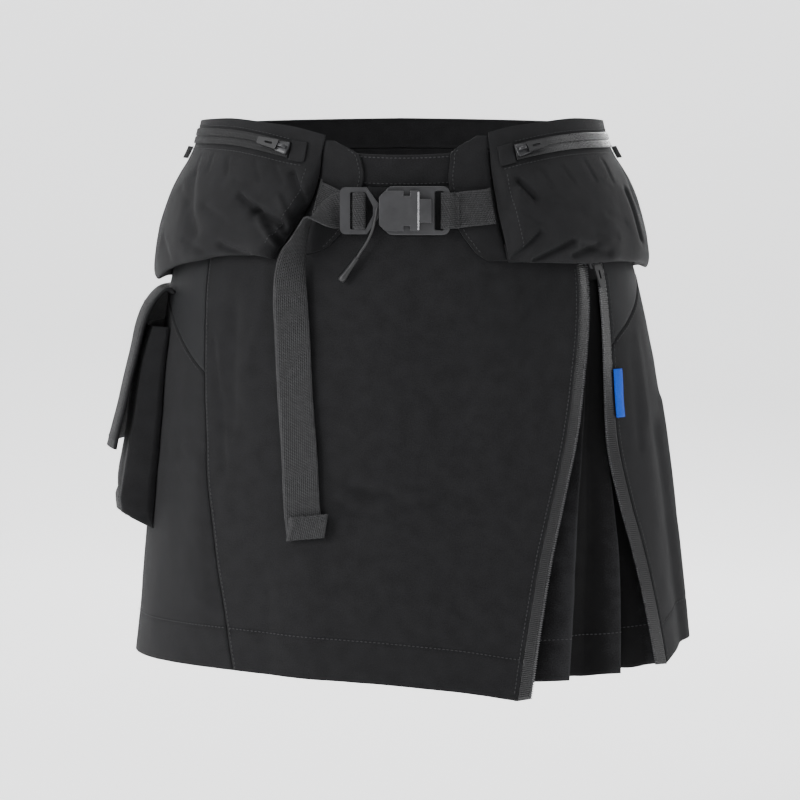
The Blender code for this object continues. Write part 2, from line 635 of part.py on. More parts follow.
def make_belt(parts):
    """Both lengths of webbing. The right one loops over the frame's bar and hangs down as the tail."""
    upper, lower = belt_edges(RIGHT_BELT_PATH, "right")
    tail_upper = front_place(*(np.array(BELT_TAIL["upper_" + axis], float) for axis in ("x", "z", "out")))
    tail_lower = front_place(*(np.array(BELT_TAIL["lower_" + axis], float) for axis in ("x", "z", "out")))
    tail_upper = smooth_rows(tail_upper, TAIL_ROWS)
    tail_lower = smooth_rows(tail_lower, TAIL_ROWS)
    upper = np.concatenate([upper[:-1], tail_upper])
    lower = np.concatenate([lower[:-1], tail_lower])
    ribbon("belt_webbing_right", upper, lower, WEBBING, "webbing", parts)
    upper, lower = belt_edges(LEFT_BELT_PATH, "left")
    ribbon("belt_webbing_left", upper[::-1], lower[::-1], WEBBING, "webbing", parts)
    upwards = -np.array(TAIL_TIP_DIRECTION) / np.linalg.norm(TAIL_TIP_DIRECTION)
    rows = np.array([TAIL_TIP_LENGTH, 0.0])[:, None] * upwards[None, :]
    lift = np.array([0, -WEBBING - TIP_LIFT, 0])
    edge = (tail_upper[-1] - tail_lower[-1]) / np.linalg.norm(tail_upper[-1] - tail_lower[-1])
    tip_upper = tail_upper[-1] + edge * TIP_OVERHANG + rows + lift
    tip_lower = tail_lower[-1] - edge * TIP_OVERHANG + rows + lift
    ribbon("belt_tip", tip_upper, tip_lower, WEBBING, "webbing", parts)


def outline_points(points, corners, steps=4):
    """Rounds the named corners of an outline with quarter arcs of their own radius."""
    rounded = []
    count = len(points)
    for number, (x, z) in enumerate(points):
        radius = corners.get(number, 0)
        if not radius:
            rounded.append((x, z))
            continue
        here = Vector((x, z))
        before = (Vector(points[number - 1]) - here).normalized() * radius
        after = (Vector(points[(number + 1) % count]) - here).normalized() * radius
        for step in range(steps + 1):
            turn = step / steps * math.pi / 2
            place = here + before * (1 - math.sin(turn)) + after * (1 - math.cos(turn))
            rounded.append(tuple(place))
    return rounded


def flat_piece(name, outlines, layer, kind, collection, bevel=EDGE_BEVEL):
    """A flat outline with its holes, made thick between two distances in front of the origin."""
    back, front = layer
    curve = bpy.data.curves.new(name, "CURVE")
    curve.dimensions = "2D"
    curve.fill_mode = "BOTH"
    curve.extrude = (front - back) / 2 * MM
    for outline in outlines:
        spline = curve.splines.new("POLY")
        spline.points.add(len(outline) - 1)
        spline.use_cyclic_u = True
        for point, (x, z) in zip(spline.points, outline):
            point.co = (x * MM, z * MM, 0, 1)
    drawn = bpy.data.objects.new(name + "_outline", curve)
    collection.objects.link(drawn)
    bpy.context.view_layer.update()
    mesh = bpy.data.meshes.new_from_object(drawn.evaluated_get(bpy.context.evaluated_depsgraph_get()))
    bpy.data.objects.remove(drawn)
    mesh.name = name
    mesh.materials.clear()
    shape = bmesh.new()
    shape.from_mesh(mesh)
    bmesh.ops.remove_doubles(shape, verts=shape.verts, dist=0.00001)
    bmesh.ops.recalc_face_normals(shape, faces=shape.faces)
    shape.to_mesh(mesh)
    shape.free()
    thing = add_object(name, mesh, kind, collection)
    thing.rotation_euler = (math.pi / 2, 0, 0)
    thing.location = (0, -(front + back) / 2 * MM, BELT_HEIGHT * MM)
    if bevel:
        edge = thing.modifiers.new("edges", "BEVEL")
        edge.width = bevel * MM
        edge.segments = 1
        edge.limit_method = "ANGLE"
        edge.angle_limit = math.radians(50)
    return thing


def make_buckle(parts):
    """The frame that the tail hangs from, the plate that covers the catch, and the base behind both."""
    half = FRAME_HALF_HEIGHT
    neck = FRAME_NECK_HALF
    frame = outline_points(
        [(FRAME_LEFT, half), (FRAME_LEFT, -half), (FRAME_SHOULDER, -half), (FRAME_NECK, -neck),
         (FRAME_NECK, neck), (FRAME_SHOULDER, half)],
        {0: FRAME_CORNER, 1: FRAME_CORNER},
    )
    window = FRAME_WINDOW_HALF
    left = FRAME_WINDOW_LEFT
    slot = [(left, window), (left, -window), (BAR_LEFT, -window), (BAR_LEFT, window)]
    shoulder = FRAME_SHOULDER - FRAME_RIM
    tip = FRAME_NECK - FRAME_MOUTH_INSET
    mouth = [(BAR_RIGHT, window), (BAR_RIGHT, -window), (shoulder, -window), (tip, -FRAME_MOUTH_HALF),
             (tip, FRAME_MOUTH_HALF), (shoulder, window)]
    flat_piece("buckle_frame", [frame, slot, mouth], BUCKLE_LAYERS["frame"], "hardware", parts)
    half = PLATE_HALF_HEIGHT
    chamfer = PLATE_CHAMFER
    low = half - NOTCH_DEPTH
    knuckle = KNUCKLE_HALF_HEIGHT
    plate = [
        (PLATE_LEFT, half - chamfer), (PLATE_LEFT, chamfer - half), (PLATE_LEFT + chamfer, -half),
        (NOTCH_LEFT, -half), (NOTCH_LEFT, -low), (NOTCH_RIGHT, -low), (NOTCH_RIGHT, -half),
        (PLATE_RIGHT, -half), (PLATE_RIGHT, -knuckle), (KNUCKLE_RIGHT, -knuckle), (KNUCKLE_RIGHT, knuckle),
        (PLATE_RIGHT, knuckle), (PLATE_RIGHT, half), (NOTCH_RIGHT, half), (NOTCH_RIGHT, low),
        (NOTCH_LEFT, low), (NOTCH_LEFT, half), (PLATE_LEFT + chamfer, half),
    ]
    flat_piece("buckle_plate", [plate], BUCKLE_LAYERS["plate"], "hardware", parts)
    half = BASE_HALF_HEIGHT
    base = outline_points(
        [(BASE_LEFT, half), (BASE_LEFT, -half), (BASE_RIGHT, -half), (BASE_RIGHT, half)],
        {number: BASE_CORNER for number in range(4)},
    )
    slot_left, slot_right = BASE_WINDOW
    window = BASE_WINDOW_HALF
    slot = [(slot_left, window), (slot_left, -window), (slot_right, -window), (slot_right, window)]
    flat_piece("buckle_base", [base, slot], BUCKLE_LAYERS["base"], "hardware", parts)


def make_release_cord(parts):
    """A short soft cord from the frame's neck, with a flared rubber end to pull."""
    route = np.stack([
        np.array(CORD_ROUTE["across"], float),
        -np.array(CORD_ROUTE["front"], float),
        np.array(CORD_ROUTE["height"], float),
    ], -1)
    points = smooth_rows(route, 12)
    curve = bpy.data.curves.new("release_cord", "CURVE")
    curve.dimensions = "3D"
    curve.bevel_depth = CORD_RADIUS * MM
    curve.bevel_resolution = 2
    curve.use_fill_caps = True
    spline = curve.splines.new("POLY")
    spline.points.add(len(points) - 1)
    for point, place in zip(spline.points, points):
        point.co = (*(place * MM), 1)
    add_object("release_cord", curve, "rubber", parts)
    direction = Vector(CORD_END_DIRECTION).normalized()
    start = Vector(points[-1]) + direction * SEAM_GAP
    turned_piece("release_cord_end", CORD_END_PROFILE, start, direction, "rubber", parts)


def turned_piece(name, profile, start, direction, kind, collection, steps=12):
    """A turned shape: a profile of radius and length, spun round the direction from its start."""
    points = [(0.0, profile[0][1]), *profile, (0.0, profile[-1][1])]
    mesh = bpy.data.meshes.new(name)
    edges = [(n, n + 1) for n in range(len(points) - 1)]
    mesh.from_pydata([(r * MM, 0, z * MM) for r, z in points], edges, [])
    thing = add_object(name, mesh, kind, collection)
    spin = thing.modifiers.new("turn", "SCREW")
    spin.steps = steps
    spin.render_steps = steps
    spin.use_merge_vertices = True
    spin.merge_threshold = 0.00001
    spin.use_normal_flip = True
    spin.use_smooth_shade = True
    thing.rotation_mode = "QUATERNION"
    thing.rotation_quaternion = Vector((0, 0, 1)).rotation_difference(direction)
    thing.location = start * MM
    return thing


def make_slit(parts):
    """The zip tapes on both edges of the slit. The side one turns in as it goes down."""
    down = np.linspace(SLIT_TOP, SLIT_FRONT_FOOT, 17)[:, None]
    share = np.linspace(0, 1, 3)[None, :]
    front = angle_at(SLIT_FRONT_EDGE, down)
    edge = front + degrees_of(SEAM_GAP / 2, down)
    reach = degrees_of(SLIT_TAPE_WIDTH, down)
    wall("slit_tape_right", skin(edge + reach * share, down + share, 0.0), TAPE, "zip_tape", parts)
    down = np.linspace(SLIT_TOP, SLIT_SIDE_FOOT, 17)[:, None]
    side = angle_at(SLIT_SIDE_EDGE, down)
    turn = curve_at(down, SIDE_TAPE_TURN["height"], SIDE_TAPE_TURN["radians"])
    reach = degrees_of(SLIT_TAPE_WIDTH, down) * np.cos(turn)
    sink = SLIT_TAPE_WIDTH * np.sin(turn)
    edge = side - degrees_of(SEAM_GAP / 2 + TAPE * np.sin(turn), down)
    away = 1 - share
    wall("slit_tape_left", skin(edge - reach * away, down + 0 * away, -sink * away), TAPE, "zip_tape", parts)


def block(name, middle, size, axes, kind, collection, bevel=0.5):
    """A small block with softened edges, its length, width and height along three directions."""
    mesh = bpy.data.meshes.new(name)
    shape = bmesh.new()
    bmesh.ops.create_cube(shape, size=1.0)
    bmesh.ops.scale(shape, vec=[edge * MM for edge in size], verts=shape.verts)
    shape.to_mesh(mesh)
    shape.free()
    thing = add_object(name, mesh, kind, collection)
    place(thing, middle, axes)
    soften = thing.modifiers.new("edges", "BEVEL")
    soften.width = bevel * MM
    soften.segments = 1
    return thing


def place(thing, middle, axes):
    along, across, up = (Vector(axis).normalized() for axis in axes)
    thing.rotation_mode = "QUATERNION"
    thing.rotation_quaternion = Matrix((along, across, up)).transposed().to_quaternion()
    thing.location = Vector(middle) * MM


def pull_tab(name, axis_point, axes, collection):
    """A tapered pull tab with a slot, whose origin is on its hinge line."""
    half_wide = TAB_WIDE / 2
    half_narrow = TAB_NARROW / 2
    start = -TAB_BEYOND_AXIS
    end = TAB_LENGTH
    cut = TAB_CORNER
    outline = [(start, half_wide), (start, -half_wide), (end - cut, -half_narrow), (end, cut - half_narrow),
               (end, half_narrow - cut), (end - cut, half_narrow)]
    slot = TAB_SLOT
    curve = bpy.data.curves.new(name, "CURVE")
    curve.dimensions = "2D"
    curve.fill_mode = "BOTH"
    curve.extrude = TAB_THICK / 2 * MM
    for points in (outline, slot):
        spline = curve.splines.new("POLY")
        spline.points.add(len(points) - 1)
        spline.use_cyclic_u = True
        for point, (x, y) in zip(spline.points, points):
            point.co = (x * MM, y * MM, 0, 1)
    thing = add_object(name, curve, "rubber", collection)
    place(thing, axis_point, axes)
    return thing


def surface_axes(angle, height, out_function):
    """The point on a surface, with its directions round the body, down it and outwards."""
    step = 1.0
    here = skin(angle, height, out_function(angle, height))
    across = skin(angle + step, height, out_function(angle + step, height)) - here
    down = skin(angle, height - step, out_function(angle, height - step)) - here
    axes = (across, down, np.cross(down, across))
    return here, *(axis / np.linalg.norm(axis) for axis in axes)


def make_sliders(parts):
    """The slider of each bag's zip, with a pull tab that lies along its tape."""
    thick = SLIDER_SIZE[2]
    for end, side, line in (("right", -1, ZIP_LINE_RIGHT), ("left", 1, ZIP_LINE_LEFT)):
        angle = side * SLIDER_ANGLE
        level = float(height_at(line, SLIDER_ANGLE))
        above = lambda a, h: bag_out(side, np.array(a), np.array(h)) + LAID_ON + TAPE
        here, _, _, outward = surface_axes(angle, level, above)
        ahead = surface_axes(angle + side * 3, float(height_at(line, SLIDER_ANGLE + 3)), above)[0] - here
        tangent = ahead / np.linalg.norm(ahead)
        outward = outward - tangent * np.dot(outward, tangent)
        outward = outward / np.linalg.norm(outward)
        sideways = np.cross(outward, tangent)
        axes = (tangent, sideways, outward)
        middle = here + outward * (thick / 2 + SLIDER_LIFT)
        block("bag_slider_" + end, middle, SLIDER_SIZE, axes, "hardware", parts)
        hinge = here + tangent * SLIDER_HINGE_AHEAD + outward * hinge_lift(thick)
        pull_tab("bag_pull_tab_" + end, hinge, axes, parts)


def hinge_lift(slider_thick):
    """How far a pull tab's middle lies above the tape: over its slider, with a clearance between."""
    return SLIDER_LIFT + slider_thick + TAB_CLEARANCE + TAB_THICK / 2


def make_slit_hardware(parts):
    """The slit's slider under the left bag, with a pull tab that hangs from it."""
    thick = SLIT_SLIDER_SIZE[2]
    on_body = lambda a, h: 0.0
    here, _, down, outward = surface_axes(SLIT_SLIDER_ANGLE, SLIT_SLIDER_HEIGHT, on_body)
    axes = (down, np.cross(outward, down), outward)
    middle = here + outward * (thick / 2 + SLIDER_LIFT)
    block("slit_slider", middle, SLIT_SLIDER_SIZE, axes, "hardware", parts)
    hinge = here + down * SLIDER_HINGE_AHEAD + outward * hinge_lift(thick)
    pull_tab("slit_pull_tab", hinge, axes, parts)


def make_label(parts):
    """A plain folded label caught in the seam beside the slit."""
    height = np.linspace(LABEL_TOP, LABEL_BOTTOM, 4)[:, None]
    share = np.linspace(0, 1, 3)[None, :]
    angle = angle_at(SLIT_SIDE_EDGE, height) - 0.2 + LABEL_WIDTH * share
    points = skin(angle, height + 0 * share, LAID_ON + LABEL_THICK)
    wall("side_label", points, LABEL_THICK, "label_blue", parts)


def hip_place(angle, height, out):
    """A place on the right hip moved out halfway between the body's normal and the wearer's right."""
    here = body(angle, height)
    way = skin(angle, height, 1.0 + 0 * angle) - here + np.array([-1.0, 0, 0])
    return here + way / np.linalg.norm(way, axis=-1, keepdims=True) * out[..., None]


def make_pocket(parts):
    """A box pocket, open at the top, with gussets at the front, the rear and the bottom, and its flap."""
    heights = np.array(POCKET["height"], float)[:, None]
    outs = np.array(POCKET["out"], float)[:, None]
    angles = np.linspace(POCKET_REAR_ANGLE, POCKET_FRONT_ANGLE, 11)
    corner = np.array([0.8, 0.3])
    angles = np.concatenate([angles[0] - corner, angles, angles[-1] + corner[::-1]])
    share = np.ones(len(angles))
    share[[0, -1]] = 0.0
    share[[1, -2]] = POCKET_CORNER_SHARE
    out = np.maximum(outs * share[None, :], POCKET_ROOT)
    points = hip_place(angles[None, :] + 0 * heights, heights + 0 * angles[None, :], out)
    wall("cargo_pocket", points, CLOTH, "cloth", parts)
    heights = np.array(FLAP["height"], float)[:, None]
    outs = np.array(FLAP["out"], float)[:, None]
    rear, front = FLAP_OVERHANG
    angles = np.linspace(POCKET_REAR_ANGLE - rear, POCKET_FRONT_ANGLE + front, 12)[None, :]
    sides = hip_place(angles + 0 * heights, heights + 0 * angles, outs + 0 * angles)
    wall("pocket_flap", sides, FLAP_WALL, "cloth", parts)


def main():
    for thing in list(bpy.data.objects):
        bpy.data.objects.remove(thing)
    parts = bpy.data.collections.new("pleated_a_line_skirt")
    bpy.context.scene.collection.children.link(parts)
    make_skirt(parts)
    make_pleats(parts)
    make_wings(parts)
    make_bags(parts)
    make_bag_zips(parts)
    make_belt(parts)
    make_buckle(parts)
    make_release_cord(parts)
    make_slit(parts)
    make_sliders(parts)
    make_slit_hardware(parts)
    make_label(parts)
    make_pocket(parts)


main()
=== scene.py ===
# %% [markdown]
# # A pleated a-line skirt, dressed
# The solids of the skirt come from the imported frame. This lesson lays thin cloth over their forms, stitches
# it, and gives every piece its own finish. All sizes in the tables are millimetres and degrees: angle 0 is
# the middle of the front, 90 the wearer's left side and -90 the right side.

# %% Load the frame
import math

import bmesh
import bpy
import numpy as np
from mathutils import Matrix, Vector


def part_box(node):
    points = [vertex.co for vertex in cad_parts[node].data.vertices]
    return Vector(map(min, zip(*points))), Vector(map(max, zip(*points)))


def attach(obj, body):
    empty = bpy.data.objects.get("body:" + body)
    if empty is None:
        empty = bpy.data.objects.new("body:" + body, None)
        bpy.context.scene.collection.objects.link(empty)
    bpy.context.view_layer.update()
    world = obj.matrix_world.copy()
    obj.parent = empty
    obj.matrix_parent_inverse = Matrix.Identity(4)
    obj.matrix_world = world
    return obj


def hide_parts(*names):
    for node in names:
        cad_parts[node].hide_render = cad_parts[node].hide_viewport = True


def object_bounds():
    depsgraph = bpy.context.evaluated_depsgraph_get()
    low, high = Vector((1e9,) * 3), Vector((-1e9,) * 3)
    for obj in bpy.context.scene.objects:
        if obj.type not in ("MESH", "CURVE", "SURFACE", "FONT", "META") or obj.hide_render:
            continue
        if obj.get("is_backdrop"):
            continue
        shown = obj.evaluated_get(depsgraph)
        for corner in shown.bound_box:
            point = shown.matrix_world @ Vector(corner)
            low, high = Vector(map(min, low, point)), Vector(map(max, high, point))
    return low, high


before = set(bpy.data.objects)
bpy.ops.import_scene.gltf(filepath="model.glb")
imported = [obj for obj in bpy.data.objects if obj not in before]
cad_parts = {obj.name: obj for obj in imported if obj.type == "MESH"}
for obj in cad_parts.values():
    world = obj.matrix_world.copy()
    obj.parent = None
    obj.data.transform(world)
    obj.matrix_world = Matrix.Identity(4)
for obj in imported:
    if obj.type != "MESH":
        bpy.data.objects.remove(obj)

MM = 0.001
scene = bpy.context.scene
cad_low, cad_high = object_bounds()
print("nodes:", len(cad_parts), "box of the solids:", [round(v, 4) for v in (*cad_low, *cad_high)])

# %% [markdown]
# The photograph was taken from straight ahead with a long lens, a little above the waist. A camera 2.4 m
# away, tipped 5.5 degrees down, sees the waist's far edge over its near one, as the photograph does.

# %% The camera
camera_data = bpy.data.cameras.new("camera")
camera_data.lens = 148
camera_data.sensor_width = 36
camera = bpy.data.objects.new("camera", camera_data)
camera.location = (-0.0015, -2.4, 0.03)
camera.rotation_euler = (math.radians(84.5), 0, 0)
scene.collection.objects.link(camera)
scene.camera = camera
print("camera at", tuple(camera.location))

# %% [markdown]
# Every surface here is a table read as a smooth curve. A cubic piece between two rows takes its slope at a
# row from the rows on both sides, so the outline has no corners where the table has none.

# %% Smooth curves through tables
def curve_at(place, places, values):
    """A smooth curve through a table: s is the share of the way from one row to the next, and the two
    rows' values and slopes are mixed by the cubic Hermite weights of s."""
    places = np.asarray(places, float)
    values = np.asarray(values, float)
    if places[0] > places[-1]:
        places, values = places[::-1], values[::-1]
    slopes = np.gradient(values, places)
    place = np.clip(place, places[0], places[-1])
    row = np.clip(np.searchsorted(places, place) - 1, 0, len(places) - 2)
    step = places[row + 1] - places[row]
    s = (place - places[row]) / step
    start = (2 * s**3 - 3 * s**2 + 1) * values[row] + (s**3 - 2 * s**2 + s) * step * slopes[row]
    end = (3 * s**2 - 2 * s**3) * values[row + 1] + (s**3 - s**2) * step * slopes[row + 1]
    return start + end


def angle_at(table, height):
    return curve_at(height, table["height"], table["angle"])


def height_at(table, angle):
    return curve_at((np.asarray(angle, float) + 180) % 360 - 180, table["angle"], table["height"])


def bag_height_at(table, angle):
    return curve_at(np.abs(angle), table["angle"], table["height"])


# %% [markdown]
# The body is the form that a wearer gives the skirt: an ellipse at each height whose four half-sizes come
# from a table, because a real waist is deeper behind than in front.

# %% The body's sizes
BODY = {
    "height": (20, 0, -35, -75, -110, -160, -230, -300, -350, -410),
    "right": (142, 144, 149, 159, 168, 175, 182, 188.5, 193, 198.5),
    "left": (142, 144, 149, 160, 171, 182, 194, 202.5, 208, 214),
    "front": (101, 102, 106, 112, 118, 126, 134, 140.5, 144.5, 149),
    "back": (104, 106, 113, 124, 132, 138, 141, 143, 144, 146),
}
print("waist:", 2 * BODY["right"][1], "by", BODY["front"][1] + BODY["back"][1], "mm")

# %% Where the seams and edges run
PRINCESS_SEAM = {
    "height": (0, -60, -111, -137, -175, -214, -249, -277, -305, -332, -360, -390),
    "angle": (-60, -58, -55.8, -54.4, -52.4, -50.4, -48.3, -46.1, -44, -41.6, -39.2, -36.6),
}
SLIT_FRONT_EDGE = {
    "height": (0, -60, -99, -136, -182, -233, -262, -296, -352, -400),
    "angle": (50, 49, 47.5, 44.7, 40.2, 35.1, 32, 28.8, 24.8, 22.1),
}
SLIT_SIDE_EDGE = {
    "height": (0, -60, -100, -137, -184, -231, -270, -294, -340, -390),
    "angle": (59, 58.6, 58.3, 56.3, 53.6, 53.1, 55.7, 58.1, 61.5, 64.8),
}
SIDE_TAPE_TURN = {
    "height": (-90, -190, -235, -275, -330, -390),
    "radians": (0, 0.15, 0.5, 0.75, 0.8, 0.8),
}
BAG_SEAM = {
    -1: {
        "height": (10, -7, -18, -34, -50, -59, -71, -85, -100),
        "angle": (-20.8, -21.4, -22, -22.3, -23.5, -25, -27.2, -30.7, -34),
    },
    1: {
        "height": (10, -4, -31, -49, -66, -80, -100),
        "angle": (24.1, 24.2, 24.3, 24.6, 25, 25.6, 26.4),
    },
}
WING_EDGE = {
    -1: {
        "height": (-7, -9.3, -14, -18, -26, -34, -48, -60, -70, -78, -86, -91),
        "angle": (-20.6, -19.4, -15.6, -12.6, -10.9, -10.3, -11.4, -13, -14.6, -16.8, -20.5, -27),
    },
    1: {
        "height": (-3, -8, -13, -17, -26, -36, -48, -60, -71, -81, -90, -96),
        "angle": (23.2, 20, 16.2, 13.9, 13, 12.4, 12.8, 13.4, 14.2, 16.4, 19, 22.5),
    },
}
WAIST_TOP = {
    "angle": (-180, -150, -90, -70, -50, -30, -13, 0, 13, 30, 50, 70, 90, 150, 180),
    "height": (4, 3, 0, -1, -5, -13, -18.3, -19.5, -18.3, -13, -5, -1, 0, 3, 4),
}
HEM = {
    "angle": (-180, -135, -90, -68, -54, -38, -21, 0, 15, 22.5, 62, 69, 78, 90, 135, 180),
    "height": (-374, -379, -383, -382, -381, -380.7, -382.6, -387, -394, -399, -387, -380, -374.5,
               -372, -372, -374),
}
YOKE_RIGHT_EDGE = {
    "angle": (-95, -90, -80, -73.2, -66.2, -59.6, -51.8, -45),
    "height": (-112, -117, -128, -138, -150, -162, -175, -184),
}
YOKE_LEFT_EDGE = {
    "angle": (50, 55.5, 58.5, 65, 72, 80, 90, 95),
    "height": (-161, -155, -149, -140, -130, -118, -105, -100),
}
BAG_TOP = {"angle": (20, 31, 41, 55, 68, 90, 106), "height": (-7, -0.4, 2.5, 5.2, 4.6, 2.6, 1.6)}
BAG_BOTTOM = {
    -1: {
        "angle": (20, 30, 38, 44, 50, 56, 66, 72, 90, 106),
        "height": (-98, -94.5, -91.5, -92, -93.5, -97, -101, -104.5, -114, -112),
    },
    1: {
        "angle": (20, 24, 34, 48, 62, 76, 90, 106),
        "height": (-95, -95, -96.5, -98.5, -98.5, -101, -106, -106),
    },
}
ZIP_LINE = {
    -1: {"angle": (28, 31, 40, 50, 60, 74, 90), "height": (-18.5, -17.2, -12.8, -9.2, -8, -8, -8.6)},
    1: {
        "angle": (24, 27, 33, 40, 48, 58, 70, 90),
        "height": (-23.5, -21.5, -18, -14.8, -12.4, -11, -11, -11.4),
    },
}
WAISTBAND_WIDTH = 22.5
HEM_BAND = 29.0
BAG_REAR_ANGLE = 105.0
print("hem length about", round(2 * math.pi * math.sqrt((206**2 + 147**2) / 2)), "mm")

# %% [markdown]
# Cloth shows how it hangs by its folds. Each row of the tables is one soft trough along a line, or a ridge
# where its depth is negative. They are placed one by one and uneven. Large ones are those of the solids, and
# the small ones are added here: tension lines below the belt, slack near the hem and crumples at the seams.

# %% Folds placed one by one
FOLD_COLUMNS = ("angle", "height", "end_angle", "end_height", "width", "depth")
SKIRT_FOLDS = (
    (-9, -253, 7, -262, 9, 2.4),
    (11, -140, 12, -245, 26, 3.2),
    (33, -116, 26, -146, 10, 2.2),
    (-44, -128, -42, -205, 11, 2.0),
    (-52, -240, -48, -330, 16, -1.6),
    (-20, -300, -19, -380, 22, -1.8),
    (74, -220, 77, -372, 12, 3.0),
    (82, -200, 83, -372, 8, -1.8),
    (104, -150, 108, -372, 20, 3.0),
    (133, -160, 137, -372, 22, -3.0),
    (160, -190, 160, -372, 20, 2.6),
    (-172, -210, -170, -374, 22, -3.0),
    (-150, -250, -146, -378, 20, 2.4),
    (-118, -300, -112, -380, 20, -2.6),
)
SMALL_FOLDS = (
    (-12, -248, -3, -252, 3.8, 1.7),
    (-4, -258, 6, -256, 3.4, -1.3),
    (-14, -262, -6, -268, 3.8, 1.3),
    (2, -249, 8, -255, 3.0, 1.1),
    (22, -104, 17, -132, 6, 1.5),
    (28, -120, 24, -170, 7, -1.2),
    (5, -112, 2, -150, 9, 0.7),
    (-24, -104, -30, -150, 8, 0.9),
    (-34, -112, -38, -170, 6, -0.8),
    (-46, -190, -43, -240, 5, 0.8),
    (-50, -150, -47, -185, 4, 0.9),
    (-30, -320, -28, -380, 9, 0.9),
    (-8, -330, -9, -384, 10, -0.8),
    (10, -320, 12, -390, 9, 0.9),
    (64, -170, 62, -230, 5, 0.8),
    (70, -150, 68, -210, 6, -0.9),
    (88, -180, 88, -300, 7, 0.9),
    (96, -140, 98, -260, 8, -1.0),
    (120, -110, 124, -200, 10, 1.0),
    (146, -100, 148, -190, 9, -0.9),
    (176, -110, 176, -200, 10, 1.1),
    (-160, -110, -158, -190, 9, -0.9),
    (-136, -120, -134, -230, 10, 1.0),
    (-105, -290, -100, -380, 8, 1.0),
)
BAG_FOLDS = (
    (-43, -51, -37, -61, 3.4, 3.6),
    (-37, -61, -30, -70, 4.6, 5.6),
    (-37, -63, -31, -84, 2.6, -2.6),
    (-33, -72, -29, -82, 3.6, 3.2),
    (-28.5, -35, -25, -52, 4.2, 3.6),
    (-31, -52, -28, -66, 3.4, -2.0),
    (-48, -85, -39, -91, 3.4, 3.0),
    (-66, -40, -58, -78, 9, 2.2),
    (31, -40, 34.5, -52, 3.4, 4.2),
    (29, -44, 27, -58, 5.0, 2.6),
    (27, -92, 34, -76, 2.4, 3.0),
    (32, -94, 43, -83, 2.6, 3.2),
    (43, -92, 52, -86, 2.8, 2.6),
    (46, -86, 56, -92, 4, 2.2),
    (74, -52, 76, -84, 5, 3.2),
)
SMALL_BAG_FOLDS = (
    (-52, -24, -50, -34, 2.6, 0.9),
    (-60, -22, -59, -33, 2.8, 0.8),
    (-68, -23, -66, -36, 3.0, 0.9),
    (-41, -27, -38, -38, 2.6, 1.0),
    (-34, -30, -31, -41, 2.4, 1.1),
    (-46, -40, -38, -46, 3.2, 0.9),
    (-72, -48, -64, -58, 4.0, 0.9),
    (-55, -60, -47, -68, 3.6, 1.0),
    (-62, -84, -54, -90, 3.4, 0.9),
    (-76, -84, -70, -96, 4.0, 1.0),
    (-30, -70, -27.5, -80, 2.6, 1.0),
    (-85, -40, -82, -70, 6.0, 1.2),
    (-95, -30, -93, -80, 6.0, 1.4),
    (38, -32, 40, -44, 2.6, 1.0),
    (46, -30, 48, -41, 2.6, 0.9),
    (56, -27, 57, -40, 3.0, 0.9),
    (66, -27, 66, -42, 3.2, 1.0),
    (30, -60, 34, -70, 3.2, 1.0),
    (40, -56, 48, -62, 3.8, 0.9),
    (58, -66, 66, -72, 4.2, 1.0),
    (52, -78, 60, -82, 3.2, 0.9),
    (80, -36, 82, -66, 6.0, 1.2),
    (94, -30, 95, -80, 6.0, 1.4),
    (27.5, -34, 28, -46, 2.4, 0.9),
)
MM_PER_DEGREE = 2.6
FOLDED_WHEN_PROUD = 10.0


def fold_depth(folds, angle, height):
    """The cloth's sink, summed over the folds: depth times e to the minus (distance / width) squared,
    where the distance is measured to the fold's line. One flank is steep: the width there is half, and it
    changes from flank to flank with the sine of the direction in which the line lies."""
    sink = np.zeros(np.broadcast(angle, height).shape)
    for fold in folds:
        row = dict(zip(FOLD_COLUMNS, fold))
        across = (row["end_angle"] - row["angle"]) * MM_PER_DEGREE
        down = row["end_height"] - row["height"]
        from_x = (angle - row["angle"]) * MM_PER_DEGREE
        from_z = height - row["height"]
        along = np.clip((from_x * across + from_z * down) / (across**2 + down**2), 0, 1)
        distance = np.hypot(from_x - along * across, from_z - along * down) + 0.001
        beside = (from_x * down - from_z * across) / math.hypot(across, down)
        width = row["width"] * (0.75 + 0.25 * beside / distance)
        sink = sink + row["depth"] * np.exp(-((distance / width) ** 2))
    return sink


def ripple(across, down, size, seed):
    """Soft unevenness from -1 to 1: random heights on a lattice of cells, joined by s squared times
    (3 - 2 s), which is flat at each lattice point."""
    lattice = np.random.default_rng(seed).uniform(-1, 1, (64, 64))
    x = np.asarray(across, float) / size + 1000
    y = np.asarray(down, float) / size + 1000
    column, row = np.floor(x).astype(int), np.floor(y).astype(int)
    s, t = x - column, y - row
    s, t = s * s * (3 - 2 * s), t * t * (3 - 2 * t)
    near = lattice[row % 64, column % 64] * (1 - s) + lattice[row % 64, (column + 1) % 64] * s
    far = lattice[(row + 1) % 64, column % 64] * (1 - s) + lattice[(row + 1) % 64, (column + 1) % 64] * s
    return near * (1 - t) + far * t


on_skirt, on_bags = len(SKIRT_FOLDS + SMALL_FOLDS), len(BAG_FOLDS + SMALL_BAG_FOLDS)
print("folds:", on_skirt, "on the skirt,", on_bags, "on the bags")

# %% [markdown]
# A place on the skirt is an angle and a height. The body's point comes from the ellipse less the folds, and
# its outward direction is the cross product of the two slopes, so anything sewn on top is the same places
# moved out along that direction.

# %% The body as a surface
def half_size(side, height):
    """The ellipse's half-size towards one side."""
    return curve_at(height, BODY["height"], BODY[side])


